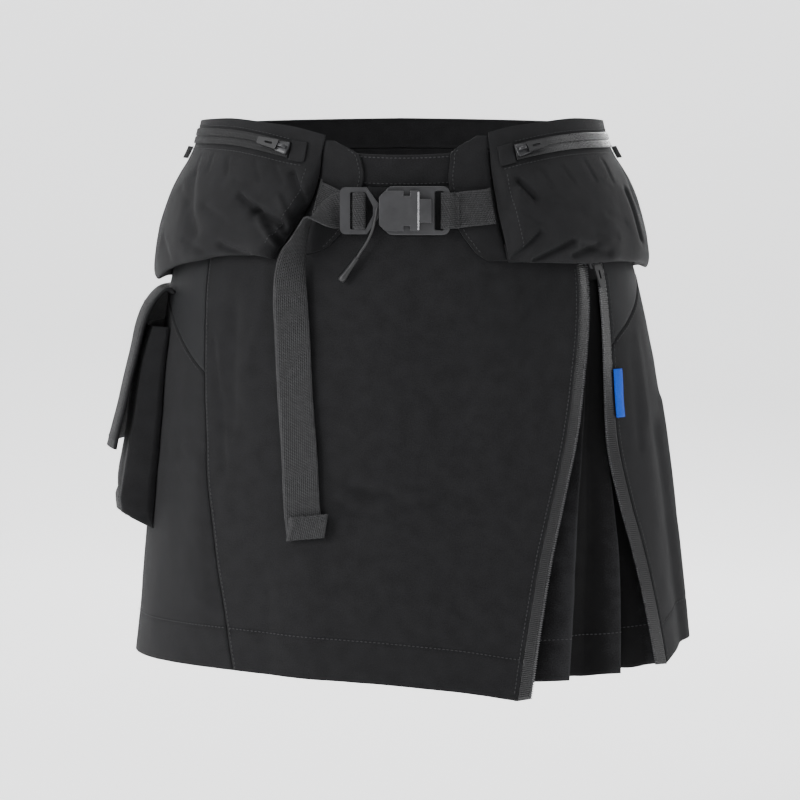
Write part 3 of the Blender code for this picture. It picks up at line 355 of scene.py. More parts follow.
def body(angle, height):
    """x is the half-width times the sine of the angle, y the depth times minus its cosine, each less the
    folds' depth; the height stays."""
    angle, height = np.broadcast_arrays(np.asarray(angle, float), np.asarray(height, float))
    turn = np.radians(angle)
    width = np.where(np.sin(turn) > 0, half_size("left", height), half_size("right", height))
    depth = np.where(np.cos(turn) > 0, half_size("front", height), half_size("back", height))
    wrapped = (angle + 180) % 360 - 180
    slack = np.clip((-height - 60) / 120, 0.15, 1)
    uneven = 0.55 * ripple(wrapped * MM_PER_DEGREE, height * 0.6, 26, 3)
    uneven = uneven + 0.22 * ripple(wrapped * MM_PER_DEGREE, height * 0.7, 11, 4)
    sink = fold_depth(SKIRT_FOLDS + SMALL_FOLDS, wrapped, height) + slack * uneven
    return np.stack([(width - sink) * np.sin(turn), -(depth - sink) * np.cos(turn), height], -1)


def skin(angle, height, out=0.0):
    """The body's points moved out along the normal, the cross product of the slopes down and across."""
    step = 0.5
    across = body(np.asarray(angle) + step, height) - body(np.asarray(angle) - step, height)
    down = body(angle, np.asarray(height) - step) - body(angle, np.asarray(height) + step)
    normal = np.cross(down, across)
    normal = normal / np.linalg.norm(normal, axis=-1, keepdims=True)
    return body(angle, height) + normal * np.asarray(out, float)[..., None]


def degrees_of(distance, height):
    """The turn that a distance round the body takes up at a height."""
    return np.degrees(distance * 2 / (half_size("left", height) + half_size("front", height)))


print("a point of the front at mid height:", np.round(skin(0.0, -200.0), 1))

# %% [markdown]
# ## Finishes
# Each finish is a node tree. Its maths is written as plain Python sums: a wire is a socket whose sums and
# products add Math nodes to its own tree. Cloth patterns read the piece's own map, which holds its lengths
# in centimetres along and across the grain, so the weave bends with the cloth.

# %% Shader maths in Python
class Wire:
    """A socket that can be added, multiplied and so on."""

    def __init__(self, finish, socket):
        self.finish = finish
        self.socket = socket

    def math(self, operation, *values):
        return self.finish.node("ShaderNodeMath", {"operation": operation}, dict(enumerate(values)))

    def __add__(self, other):
        return self.math("ADD", self, other)

    def __radd__(self, other):
        return self.math("ADD", other, self)

    def __sub__(self, other):
        return self.math("SUBTRACT", self, other)

    def __rsub__(self, other):
        return self.math("SUBTRACT", other, self)

    def __mul__(self, other):
        return self.math("MULTIPLY", self, other)

    def __rmul__(self, other):
        return self.math("MULTIPLY", other, self)

    def __truediv__(self, other):
        return self.math("DIVIDE", self, other)

    def __gt__(self, other):
        return self.math("GREATER_THAN", self, other)

    def wave(self, period):
        """The sine of the value, once round for each period."""
        turns = self * (2 * math.pi / period)
        return turns.math("SINE", turns)


class Finish:
    """A material and the one method that adds nodes to it."""

    def __init__(self, name, **constants):
        self.material = bpy.data.materials.new(name)
        self.material.use_nodes = True
        self.tree = self.material.node_tree
        self.shader = self.tree.nodes["Principled BSDF"]
        for socket, value in constants.items():
            self.shader.inputs[socket.replace("_", " ")].default_value = value

    def node(self, kind, settings, sockets, output=0):
        made = self.tree.nodes.new(kind)
        for name, value in settings.items():
            if name == "stops":
                while len(made.color_ramp.elements) < len(value):
                    made.color_ramp.elements.new(0.5)
                for element, (position, colour) in zip(made.color_ramp.elements, value):
                    element.position = position
                    element.color = (*colour, 1)
            else:
                setattr(made, name, value)
        for name, value in sockets.items():
            if isinstance(value, Wire):
                self.tree.links.new(value.socket, made.inputs[name])
            else:
                made.inputs[name].default_value = value
        return Wire(self, made.outputs[output])

    def feed(self, socket, wire):
        self.tree.links.new(wire.socket, self.shader.inputs[socket])

    def noise(self, place, scale, detail=3.0):
        return self.node("ShaderNodeTexNoise", {}, {"Vector": place, "Scale": scale, "Detail": detail})

    def ramp(self, value, stops):
        return self.node("ShaderNodeValToRGB", {"stops": stops}, {"Fac": value})

    def bump(self, height, strength, distance):
        """Turns a height into a tilt of the surface and feeds it to the shader."""
        made = self.node("ShaderNodeBump", {}, {"Strength": strength, "Distance": distance, "Height": height})
        self.feed("Normal", made)

    def along_cloth(self):
        """The map's two lengths in centimetres, and the map itself for noise."""
        place = self.node("ShaderNodeUVMap", {"uv_map": "grain"}, {})
        parts = self.node("ShaderNodeSeparateXYZ", {}, {"Vector": place})
        return place, parts, Wire(self, parts.socket.node.outputs[1])

    def in_space(self):
        return Wire(self, self.node("ShaderNodeTexCoord", {}, {}).socket.node.outputs["Object"])


FINISHES = {}
print("shader helpers ready")

# %% [markdown]
# The main cloth is a fine plain weave in near black. Its threads cross at right angles, which the product
# of two sines gives. Broad noise makes it slightly worn and dusty, as black cloth always is in a photograph.

# %% Woven cloth
def woven(name, dark, light, thread, roughness, sheen, relief, shaded_in_folds=False):
    """A plain weave: sine of u times sine of v for the threads, broad noise for the wear. For painted fold
    shade, a second map darkens the colour deep in the folds and paints the ridges lighter, as if lit."""
    finish = Finish(name, Sheen_Weight=sheen, Sheen_Roughness=0.45, Specular_IOR_Level=0.14)
    place, u, v = finish.along_cloth()
    threads = u.wave(thread) * v.wave(thread)
    wear = finish.noise(place, 0.9, 4.0)
    slubs = finish.noise(place, 11.0, 2.0)
    shade = wear * 0.5 + slubs * 0.6 + threads * 0.06
    # painted shade: the second map darkens the colour deep in the pleats and under the bag, and the 0.2
    # lightens the ridges as if lit
    if shaded_in_folds:
        shade_by_depth = finish.node("ShaderNodeUVMap", {"uv_map": "fold"}, {})
        shade = shade + 0.2 - finish.node("ShaderNodeSeparateXYZ", {}, {"Vector": shade_by_depth}) * 0.75
    finish.feed("Base Color", finish.ramp(shade, [(0.36, dark), (0.74, light)]))
    finish.feed("Roughness", roughness + (wear - 0.5) * 0.16)
    finish.bump(threads * 0.5 + slubs * 0.8 + wear * 1.6, relief, 0.0003)
    FINISHES[name] = finish.material


woven("cloth", (0.0036, 0.0036, 0.004), (0.0118, 0.0118, 0.0128), 0.09, 0.78, 0.03, 0.6)
# the pleats' cloth is the plain cloth with painted shade: darker in the folds, lighter on the lit ridges
woven("pleat_cloth_painted_shade", (0.0016, 0.0016, 0.0018), (0.0175, 0.0175, 0.019), 0.09, 0.78, 0.03, 0.6, True)
woven("bag_cloth", (0.0034, 0.0034, 0.0038), (0.0112, 0.0112, 0.0122), 0.07, 0.66, 0.03, 0.6)
woven("smooth_cloth", (0.0053, 0.0055, 0.0061), (0.0095, 0.0098, 0.0108), 0.05, 0.6, 0.03, 0.3)
woven("label_cloth", (0.002, 0.045, 0.36), (0.005, 0.085, 0.56), 0.06, 0.6, 0.03, 0.5)
print("woven finishes:", sorted(FINISHES))

# %% [markdown]
# Belt webbing is coarse: two slanted sines are multiplied, so that small knots stand in crossing rows, and
# the two selvedges are flatter. A slant comes from adding a part of the width to the length before the sine
# is taken.

# %% Webbing
def webbing_finish(name, dark, light, width):
    """Knots: the sine of the length plus 0.45 of the width, times one of the length less 0.9 of the width,
    weaker at the selvedges."""
    finish = Finish(name, Sheen_Weight=0.03, Sheen_Roughness=0.5, Specular_IOR_Level=0.2)
    place, u, v = finish.along_cloth()
    ribs = (v + u * 0.45).wave(0.21)
    cross = (v - u * 0.9).wave(0.19)
    middle = 1 - (u.math("ABSOLUTE", u) > (width / 2 - 0.14)) * 0.6
    wear = finish.noise(place, 2.2, 5.0)
    knots = ribs * cross
    shade = wear * 0.4 + (ribs * 0.08 + knots * 0.3) * middle + 0.3
    finish.feed("Base Color", finish.ramp(shade, [(0.3, dark), (0.75, light)]))
    finish.feed("Roughness", 0.68 + (wear - 0.5) * 0.2)
    finish.bump((ribs * 0.3 + knots * 1.1) * middle + wear * 0.4, 1.0, 0.0005)
    FINISHES[name] = finish.material


webbing_finish("webbing", (0.0085, 0.0085, 0.009), (0.046, 0.046, 0.048), 2.5)

# %% [markdown]
# The zip tapes are coated against water, so they shine softly and show faint scuffs. Metal parts have a
# satin coating with fine grain. The rubber of the pulls is matt.

# %% Tape, metal, rubber and thread
def coated(name, colour, roughness, coat, relief):
    """A smooth coating: noise at two scales scuffs its gloss and lifts it very slightly."""
    finish = Finish(name, Coat_Weight=coat, Coat_Roughness=0.2, Specular_IOR_Level=0.45)
    place = finish.in_space()
    scuffs = finish.noise(place, 260.0, 4.0)
    cloudy = finish.noise(place, 38.0, 3.0)
    lighter = tuple(value * 1.7 for value in colour)
    finish.feed("Base Color", finish.ramp(cloudy * 0.6 + scuffs * 0.4, [(0.3, colour), (0.75, lighter)]))
    finish.feed("Roughness", roughness + (scuffs - 0.5) * 0.3 + (cloudy - 0.5) * 0.15)
    finish.bump(scuffs, relief, 0.0002)
    FINISHES[name] = finish.material
    return finish


def zip_tape(name, runs, axis, gloss, middle):
    """A coated tape: one rib of the coil under it each 1.5 mm along the zip, a raised line each side of its
    middle, and a roughness that changes along one axis of the skirt, since hands polish some parts."""
    finish = Finish(name, Coat_Roughness=0.2, Specular_IOR_Level=0.32)
    place, u, v = finish.along_cloth()
    along, across = (u, v - middle) if runs == 0 else (v, u)
    ribs = along.wave(0.15)
    off_line = across.math("ABSOLUTE", across.math("ABSOLUTE", across) - 0.33)
    line = 1 - (off_line > 0.035)
    scuffs, cloudy = finish.noise(place, 9.0, 4.0), finish.noise(place, 1.5, 3.0)
    corner = finish.node("ShaderNodeSeparateXYZ", {}, {"Vector": finish.in_space()}).socket.node.outputs[axis]
    reach = Wire(finish, corner) * (2.5 if axis == "X" else -2.5) + (0.5 if axis == "X" else 0.0)
    polish = finish.ramp(reach, [(position, (value,) * 3) for position, value in gloss])
    shade = cloudy * 0.5 + scuffs * 0.3 + line * 0.3
    black, grey = (0.003, 0.003, 0.0034), (0.011, 0.011, 0.012)
    finish.feed("Base Color", finish.ramp(shade, [(0.3, black), (0.85, grey)]))
    finish.feed("Roughness", polish + (scuffs - 0.5) * 0.35 + (cloudy - 0.5) * 0.3)
    finish.feed("Coat Weight", (0.55 - polish) * 0.9)
    finish.bump(ribs * 0.5 + scuffs * 1.2 + line * 1.5, 0.55, 0.0004)
    FINISHES[name] = finish.material


coated("rubber", (0.0065, 0.0065, 0.007), 0.5, 0.0, 0.5)
coated("thread", (0.011, 0.011, 0.012), 0.6, 0.0, 0.2)
coated("teeth", (0.03, 0.03, 0.032), 0.3, 0.3, 0.1)
zip_tape("bag_tape", 0, "X", ((0.0, 0.74), (0.66, 0.6), (0.82, 0.2), (1.0, 0.24)), 0.56)
zip_tape("slit_tape", 1, "Z", ((0.25, 0.24), (0.44, 0.3), (0.6, 0.5), (0.8, 0.46), (0.93, 0.26)), 0.0)
metal = coated("hardware", (0.022, 0.022, 0.0235), 0.4, 0.08, 0.3)
metal.shader.inputs["Metallic"].default_value = 0.35
bright = coated("bare_metal", (0.3, 0.3, 0.31), 0.28, 0.0, 0.1)
bright.shader.inputs["Metallic"].default_value = 0.9
print("finishes:", sorted(FINISHES))

# %% [markdown]
# ## Making pieces
# A cloth piece is a grid of points made solid by a thin wall. Its map holds the lengths along the cloth,
# counted from the middle of each row, which is how a maker would mark the grain.

# %% From a grid to a piece
def grain_map(points):
    """u is the length along a row from its middle, v the length down the middle column, in centimetres."""
    across = np.linalg.norm(np.diff(points, axis=1), axis=-1)
    u = np.concatenate([np.zeros((len(points), 1)), np.cumsum(across, axis=1)], axis=1)
    u = u - u[:, -1:] / 2
    down = np.linalg.norm(np.diff(points[:, points.shape[1] // 2], axis=0), axis=-1)
    v = np.concatenate([[0], np.cumsum(down)])[:, None] + 0 * u
    return np.stack([u, v], -1) / 10


def add_piece(name, mesh, finish, nodes=(), rides="root"):
    """Links a mesh as a piece that rides on a body and stands for its solids."""
    mesh.materials.clear()
    mesh.materials.append(FINISHES[finish])
    piece = bpy.data.objects.new(name, mesh)
    scene.collection.objects.link(piece)
    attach(piece, rides)
    if nodes:
        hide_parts(*nodes)
    return piece


def grid_mesh(name, points):
    """A mesh of quads between a grid of points in millimetres, with its grain map."""
    rows, columns = points.shape[:2]
    index = np.arange(rows * columns).reshape(rows, columns)
    faces = np.stack([index[:-1, :-1], index[1:, :-1], index[1:, 1:], index[:-1, 1:]], -1).reshape(-1, 4)
    mesh = bpy.data.meshes.new(name)
    mesh.from_pydata((points.reshape(-1, 3) * MM).tolist(), [], faces.tolist())
    places = grain_map(points).reshape(-1, 2)[faces.reshape(-1)]
    mesh.uv_layers.new(name="grain").data.foreach_set("uv", places.ravel())
    mesh.shade_smooth()
    return mesh


def closed_grid(name, points, finish, nodes=()):
    """A closed skin from a grid whose columns meet and whose first and last rows are single points."""
    rows, columns = points.shape[:2]
    index = np.arange((rows - 2) * columns).reshape(rows - 2, columns)
    after = np.roll(index, -1, axis=1)
    faces = np.stack([index[:-1], index[1:], after[1:], after[:-1]], -1).reshape(-1, 4).tolist()
    first, last = index.size, index.size + 1
    faces += [[first, int(a), int(b)] for a, b in zip(index[0], after[0])]
    faces += [[last, int(b), int(a)] for a, b in zip(index[-1], after[-1])]
    mesh = bpy.data.meshes.new(name)
    every = np.concatenate([points[1:-1].reshape(-1, 3), points[:1, 0], points[-1:, 0]])
    mesh.from_pydata((every * MM).tolist(), [], faces)
    made = bmesh.new()
    made.from_mesh(mesh)
    bmesh.ops.recalc_face_normals(made, faces=made.faces)
    made.to_mesh(mesh)
    made.free()
    mesh.shade_smooth()
    return add_piece(name, mesh, finish, nodes)


def cloth_piece(name, points, thickness, finish, nodes=(), offset=-1.0):
    """A cloth wall: the grid is its outer face, and the wall goes inwards, or both ways at an offset of 0."""
    piece = add_piece(name, grid_mesh(name, points), finish, nodes)
    solid = piece.modifiers.new("wall", "SOLIDIFY")
    solid.thickness = thickness * MM
    solid.offset = offset
    return piece


def cut_of(points):
    """The flat size of a piece of cloth and its area, in metres, from the lengths of its grid."""
    across = np.linalg.norm(np.diff(points, axis=1), axis=-1).sum(axis=1)
    down = np.linalg.norm(np.diff(points, axis=0), axis=-1).sum(axis=0)
    one = np.cross(points[1:, :-1] - points[:-1, :-1], points[:-1, 1:] - points[:-1, :-1])
    two = np.cross(points[1:, :-1] - points[1:, 1:], points[:-1, 1:] - points[1:, 1:])
    area = (np.linalg.norm(one, axis=-1) + np.linalg.norm(two, axis=-1)).sum() / 2 * MM * MM
    width, length = across.max() * MM, down.max() * MM
    return (round(float(width), 4), round(float(length), 4)), float(min(area, width * length))


def sewn_sheet(node, points, thickness, finish):
    """A cloth piece in a solid's place, whose flat size and area, from its grid, are printed."""
    piece = cloth_piece(node + "_cloth", points, thickness, finish, [node])
    flat, area = cut_of(points)
    print(f"{node}: {flat[0] * 1000:.0f} by {flat[1] * 1000:.0f} mm, {area * 10000:.0f} square cm")
    return piece


# %% [markdown]
# Stitches are what makes a seam look sewn. Each one is a small bead, pointed at both ends, laid along the
# cloth every 3 mm. All the beads of a row are placed at once: their middle, their direction along the row
# and the cloth's outward direction turn one small template into hundreds.

# %% Rows of stitches
def bead_template(sides=5):
    """Rings of 0.75, 1 and 0.75 of the radius along the length, closed by a point at each end."""
    turn = np.arange(sides) / sides * 2 * math.pi
    rings = [
        (along, size * np.cos(a), size * np.sin(a))
        for along, size in ((-0.55, 0.75), (0, 1), (0.55, 0.75))
        for a in turn
    ]
    points = np.array([(-1, 0, 0), *rings, (1, 0, 0)])
    last = 1 + 3 * sides
    faces = []
    for a in range(sides):
        b = (a + 1) % sides
        faces.append((0, 1 + b, 1 + a))
        faces.append((1 + a, 1 + b, 1 + sides + b))
        faces.append((1 + a, 1 + sides + b, 1 + sides + a))
        faces.append((1 + sides + a, 1 + sides + b, 1 + 2 * sides + b))
        faces.append((1 + sides + a, 1 + 2 * sides + b, 1 + 2 * sides + a))
        faces.append((last, 1 + 2 * sides + a, 1 + 2 * sides + b))
    return points, np.array(faces)


BEAD, BEAD_FACES = bead_template()


def beads_along(points, outward, spacing, size):
    """Beads on a line: the line is resampled at equal lengths, and each bead's three directions are the
    line's, the outward one, and the cross product of the two. size is half length, height and width."""
    lengths = np.concatenate([[0], np.cumsum(np.linalg.norm(np.diff(points, axis=0), axis=1))])
    count = max(int(lengths[-1] / spacing), 1)
    wanted = (np.arange(count) + 0.5) * lengths[-1] / count
    middle = np.stack([np.interp(wanted, lengths, points[:, k]) for k in range(3)], -1)
    ahead = np.stack([np.interp(wanted + 0.5, lengths, points[:, k]) for k in range(3)], -1)
    behind = np.stack([np.interp(wanted - 0.5, lengths, points[:, k]) for k in range(3)], -1)
    along = ahead - behind
    along = along / np.linalg.norm(along, axis=1, keepdims=True)
    up = np.stack([np.interp(wanted, lengths, outward[:, k]) for k in range(3)], -1)
    up = up - along * (up * along).sum(1, keepdims=True)
    up = up / np.linalg.norm(up, axis=1, keepdims=True)
    side = np.cross(along, up)
    axes = np.stack([along * size[0], up * size[1], side * size[2]], 1)
    placed = middle[:, None, :] + np.einsum("pk,nkc->npc", BEAD, axes)
    faces = BEAD_FACES[None] + (np.arange(count) * len(BEAD))[:, None, None]
    return placed.reshape(-1, 3), faces.reshape(-1, 3)


def bead_piece(name, rows, spacing, size, finish):
    """One piece from many rows, each a line of points with the outward directions there."""
    points, faces, total = [], [], 0
    for line, outward in rows:
        placed, joined = beads_along(line, outward, spacing, size)
        points.append(placed)
        faces.append(joined + total)
        total += len(placed)
    points, faces = np.concatenate(points), np.concatenate(faces)
    mesh = bpy.data.meshes.new(name)
    mesh.from_pydata((points * MM).tolist(), [], faces.tolist())
    mesh.shade_smooth()
    print(f"{name}: {len(faces) // len(BEAD_FACES)} beads in {len(rows)} rows")
    return add_piece(name, mesh, finish)


def stitches(name, rows):
    """Rows of topstitching: beads 2.2 mm long, one every 3 mm."""
    return bead_piece(name, rows, 3.0, (1.1, 0.3, 0.36), "thread")


def line_on(surface, first, second, lift=0.12):
    """A line of a surface, a function of two places and a distance out, with its outward directions."""
    first, second = np.broadcast_arrays(np.asarray(first, float), np.asarray(second, float))
    points = surface(first, second, lift)
    return points, surface(first, second, lift + 1.0) - points


print("a bead has", len(BEAD_FACES), "triangles")

# %% [markdown]
# ## The release cord
# A short soft cord hangs from the neck of the buckle and ends in a flared rubber pull. Its route repeats
# the one of the solids. It comes before the cloth because its length is a fact and not a look.

# %% The cord and its pull
def smooth_rows(points, count):
    """More rows on a smooth curve through a few, spaced by their share of the whole length."""
    places = np.concatenate([[0], np.cumsum(np.linalg.norm(np.diff(points, axis=0), axis=1))])
    wanted = np.linspace(0, places[-1], count)
    return np.stack([curve_at(wanted, places, points[:, axis]) for axis in range(3)], -1)


CORD_ROUTE = np.array([
    (-17.4, -119.0, -56.0), (-18.2, -119.4, -61.0), (-19.4, -119.2, -66.8), (-21.3, -118.6, -73.0),
    (-23.8, -117.9, -78.5), (-26.8, -117.4, -83.6), (-29.3, -117.1, -87.3), (-31.2, -116.9, -90.6),
])
CORD_DIAMETER = 1.9
PULL_DIRECTION = np.array([-11.4, -0.6, -16.0]) / np.linalg.norm([-11.4, -0.6, -16.0])
PULL_PROFILE = (
    (0, 0), (1.2, 0.0), (1.45, 0.25), (1.55, 0.8), (1.5, 2.4), (1.62, 2.9), (1.5, 3.4), (1.64, 4.6),
    (1.52, 5.2), (1.68, 6.4), (1.6, 7.2), (1.9, 11), (2.2, 13.6), (2.45, 15.5), (2.6, 17.3), (2.5, 18.5),
    (2.1, 19.4), (1.3, 19.9), (0, 20.0),
)


def turned(name, profile, start, direction, finish, nodes, sides=28):
    """A profile of radius and length, turned: x and y are the radius times the turn's sine and cosine."""
    profile = np.array(profile, float)
    turn = np.arange(sides) / sides * 2 * math.pi
    side = np.cross(direction, (0, 1, 0))
    side = side / np.linalg.norm(side)
    other = np.cross(direction, side)
    ring = np.cos(turn)[:, None] * side + np.sin(turn)[:, None] * other
    points = start + profile[:, None, 1:] * direction + profile[:, None, :1] * ring[None]
    return closed_grid(name, points, finish, nodes)


cord_points = smooth_rows(CORD_ROUTE, 40)
cord_curve = bpy.data.curves.new("release_cord_braid", "CURVE")
cord_curve.dimensions = "3D"
cord_curve.bevel_depth = CORD_DIAMETER / 2 * MM
cord_curve.bevel_resolution = 4
cord_curve.use_fill_caps = True
cord_line = cord_curve.splines.new("POLY")
cord_line.points.add(len(cord_points) - 1)
cord_line.points.foreach_set("co", np.c_[cord_points * MM, np.ones(len(cord_points))].ravel())
cord_piece = add_piece("release_cord_braid", cord_curve, "rubber", ["release_cord"])
pull = turned(
    "release_cord_pull", PULL_PROFILE, cord_points[-1] + PULL_DIRECTION * 0.1, PULL_DIRECTION,
    "rubber", ["release_cord_end"],
)

# %% [markdown]
# ## The skirt's panels
# A panel is a grid between two seams and two edges. Its rows and columns stand closer together at seams and
# stitched lines, because that is where the cloth bends most: it rolls under into a seam, and a row of
# stitches presses it in a little.

# %% A panel between its seams
def graded(counts, crowd=0.62):
    """Steps from 0 to the number of counts, closer together at each whole number: s minus a part of the
    sine of s turns."""
    made = []
    for number, count in enumerate(counts):
        s = np.linspace(0, 1, count + 1)[(0 if number == 0 else 1):]
        made.append(number + s - crowd * np.sin(2 * math.pi * s) / (2 * math.pi))
    return np.concatenate(made)


def panel_places(left, right, levels, across, down):
    """Angles and heights of a grid: each row lies between two of the levels, each column between the
    seams, and a few rounds settle both."""
    across, down = across[None, :], down[:, None]
    upper = np.clip(np.floor(down[:, 0]).astype(int), 0, len(levels) - 2)
    share = down - upper[:, None]
    angle = left(-150.0) + (right(-150.0) - left(-150.0)) * across + 0 * down
    rows = np.arange(len(down))
    for _ in range(12):
        heights = np.stack([level(angle) + 0 * angle for level in levels])
        height = heights[upper, rows] * (1 - share) + heights[upper + 1, rows] * share
        angle = left(height) + (right(height) - left(height)) * across
    return angle, height


SEAM_GAP = 0.02
SEAM_ROLL = 0.8
STITCH_SINK = 0.35


def panel(
    name, left, right, levels, columns, rows, finish="cloth", out=0.0, thick=1.2,
    sewn="lrtb",
):
    """A sewn panel, which rolls in at its sewn edges and sinks at each inner level's stitches."""
    angle, height = panel_places(
        lambda h: left(h) + degrees_of(SEAM_GAP, h),
        lambda h: right(h) - degrees_of(SEAM_GAP, h),
        levels,
        graded([columns]),
        graded(rows),
    )
    unit = degrees_of(1.0, height)
    sides = {
        "l": (angle - left(height)) / unit,
        "r": (right(height) - angle) / unit,
        "t": levels[0](angle) - height,
        "b": height - levels[-1](angle),
    }
    sink = sum(SEAM_ROLL * np.exp(-((sides[side] / 1.2) ** 2)) for side in sewn) + 0 * angle
    sink = sink + sum(STITCH_SINK * np.exp(-(((height - level(angle)) / 1.3) ** 2)) for level in levels[1:-1])
    points = skin(angle, height, out - sink)
    return sewn_sheet(name, points, thick, finish)


def waist_top(angle):
    return height_at(WAIST_TOP, angle)


def waist_bottom(angle):
    return height_at(WAIST_TOP, angle) - WAISTBAND_WIDTH


def hem(angle):
    return height_at(HEM, angle)


def hem_line(angle):
    return height_at(HEM, angle) + HEM_BAND


def princess(height):
    return angle_at(PRINCESS_SEAM, height)


def slit_front(height):
    return angle_at(SLIT_FRONT_EDGE, height)


def slit_side(height):
    return angle_at(SLIT_SIDE_EDGE, height)


def straight(angle):
    return lambda height: angle + 0 * height


right_side, left_side, round_the_back = straight(-90.0), straight(90.0), straight(270.0)
yoke_right_edge = lambda angle: curve_at(angle, YOKE_RIGHT_EDGE["angle"], YOKE_RIGHT_EDGE["height"])
yoke_left_edge = lambda angle: curve_at(angle, YOKE_LEFT_EDGE["angle"], YOKE_LEFT_EDGE["height"])

# %% The front, the sides, the yokes and the back
panel("front_panel", princess, slit_front, [waist_bottom, hem_line, hem], 112, (160, 14),
      sewn="lt")
panel("side_panel_right", right_side, princess, [yoke_right_edge, hem_line, hem], 34, (84, 12),
      sewn="lrt")
panel("side_panel_left", slit_side, left_side, [yoke_left_edge, hem_line, hem], 30, (84, 12),
      sewn="rt")
panel("yoke_right", right_side, princess, [waist_bottom, yoke_right_edge], 26, (44,),
      "smooth_cloth")
panel("yoke_left", slit_side, left_side, [waist_bottom, yoke_left_edge], 26, (44,),
      "smooth_cloth", sewn="rtb")
panel("back_panel", left_side, round_the_back, [waist_bottom, hem_line, hem], 150, (100, 12),
      sewn="lrt")
panel("waistband_front", right_side, left_side, [waist_top, waist_bottom], 130, (12,),
      thick=1.6)
panel("waistband_back", left_side, round_the_back, [waist_top, waist_bottom], 130, (12,),
      thick=1.6)

# %% [markdown]
# ## The pleated insert
# Behind the slit hangs a fan of knife pleats. Seen from below each one is a fold that runs out one way and
# back the other. Its table gives how deep each fold line hangs at the hem, and the folds close up towards
# the top by a power of the height, because they are sewn shut there. A second map paints shade into the
# finish: 0 on a lit ridge, 1 for painted shade deep in a fold and under the bag.

# %% Knife pleats
PLEAT_TOP = -108.0
PLEAT_HEM = {"share": (0, 0.3, 0.7, 1), "height": (-388.5, -387.5, -387, -385)}
PLEATS = {
    "share": (0, 0.07, 0.135, 0.205, 0.275, 0.285, 0.315, 0.335, 0.46, 0.49, 0.57, 0.65, 0.66,
              0.69, 0.71, 0.80, 0.83, 0.92, 1),
    "depth": (2.6, 13, 17.5, 11.5, 5.6, 5.8, 25, 26, 25, 23, 16, 10.5, 10.7, 27, 28, 26.5, 23,
              15, 2.6),
}


def pleats_at(share, down, lift=0.0):
    """Depth below the body: 2.6 mm where it is sewn, and the table's depth times the height's share to the
    power of 0.75 below."""
    height = PLEAT_TOP + (curve_at(share, PLEAT_HEM["share"], PLEAT_HEM["height"]) - PLEAT_TOP) * down
    sewn_front = slit_front(height) - 0.8
    sewn_side = slit_side(height) + 0.8 + 6.0 * np.sin(math.pi * down)
    depth = 2.6 + (np.interp(share, PLEATS["share"], PLEATS["depth"]) - 2.6) * down**0.75
    wander = 0.9 * np.sin(down * 7.0 + share * 19.0) * down * np.sin(math.pi * share)
    sway = 0.008 * np.sin(down * 5.0 + share * 8.0) * down * np.sin(math.pi * share)
    return skin(sewn_front + (sewn_side - sewn_front) * (share + sway), height, lift - depth - wander)


pleat_columns = np.interp(np.arange(0, 18.001, 1 / 6), np.arange(19), PLEATS["share"])[None, :]
pleat_rows = np.concatenate([np.linspace(0, 0.885, 84), np.linspace(0.9, 1, 12)])[:, None]
pleat_points = pleats_at(pleat_columns, pleat_rows)
insert = sewn_sheet("pleated_insert", pleat_points, 0.9, "pleat_cloth_painted_shade")
# painted shade for the pleats: the colour darkens with how deep a point lies in a fold, and fully at the top,
# where the bag shades the slit
shallow, deep = 5, 28
shade_by_depth = (np.interp(pleat_columns, PLEATS["share"], PLEATS["depth"]) - shallow) / (deep - shallow)
fold_shade_map = 1 - (1 - shade_by_depth) * np.clip(pleat_rows * 1.5, 0, 1)
corners = np.zeros(len(insert.data.loops), int)
insert.data.loops.foreach_get("vertex_index", corners)
fold_shade_places = np.stack([fold_shade_map.ravel()[corners], np.zeros(len(corners))], -1)
insert.data.uv_layers.new(name="fold").data.foreach_set("uv", fold_shade_places.ravel())

# %% [markdown]
# ## The hip bags
# A bag is a puffy shell sewn to the hip all round. Its section stands out, bulges over its foot and tucks
# under itself. Towards the seams the puff falls off as a quarter circle. Folds in the bags are deeper than in
# the skirt, since the cloth is gathered there.

# %% Bags that puff over their foot
BAG_PUFF = {
    "down": (0, 0.07, 0.16, 0.25, 0.34, 0.45, 0.57, 0.7, 0.83, 0.93, 0.985, 1.0, 0.965, 0.91, 0.86),
    "out": (2.6, 3.4, 5.0, 8.2, 12.2, 15.4, 17.0, 17.4, 16.4, 14.2, 11.6, 8.6, 5.2, 2.6, 0.8),
}
ABOVE_ROLL = 12
BAG_ROOT = {"down": (0, 0.16, 0.3, 1), "out": (2.5, 2.5, 0.8, 0.8)}
BAG_EDGE_ROUND = 13.0
BAG_ACROSS = (0, 0.012, 0.035, 0.07, 0.12, 0.18, 0.245, 0.31, 0.375, 0.44, 0.505, 0.57, 0.635, 0.7,
              0.765, 0.83, 0.885, 0.93, 0.965, 0.988, 1)


def bag_share(side, angle, height):
    top = bag_height_at(BAG_TOP, angle)
    return (top - height) / (top - bag_height_at(BAG_BOTTOM[side], angle))


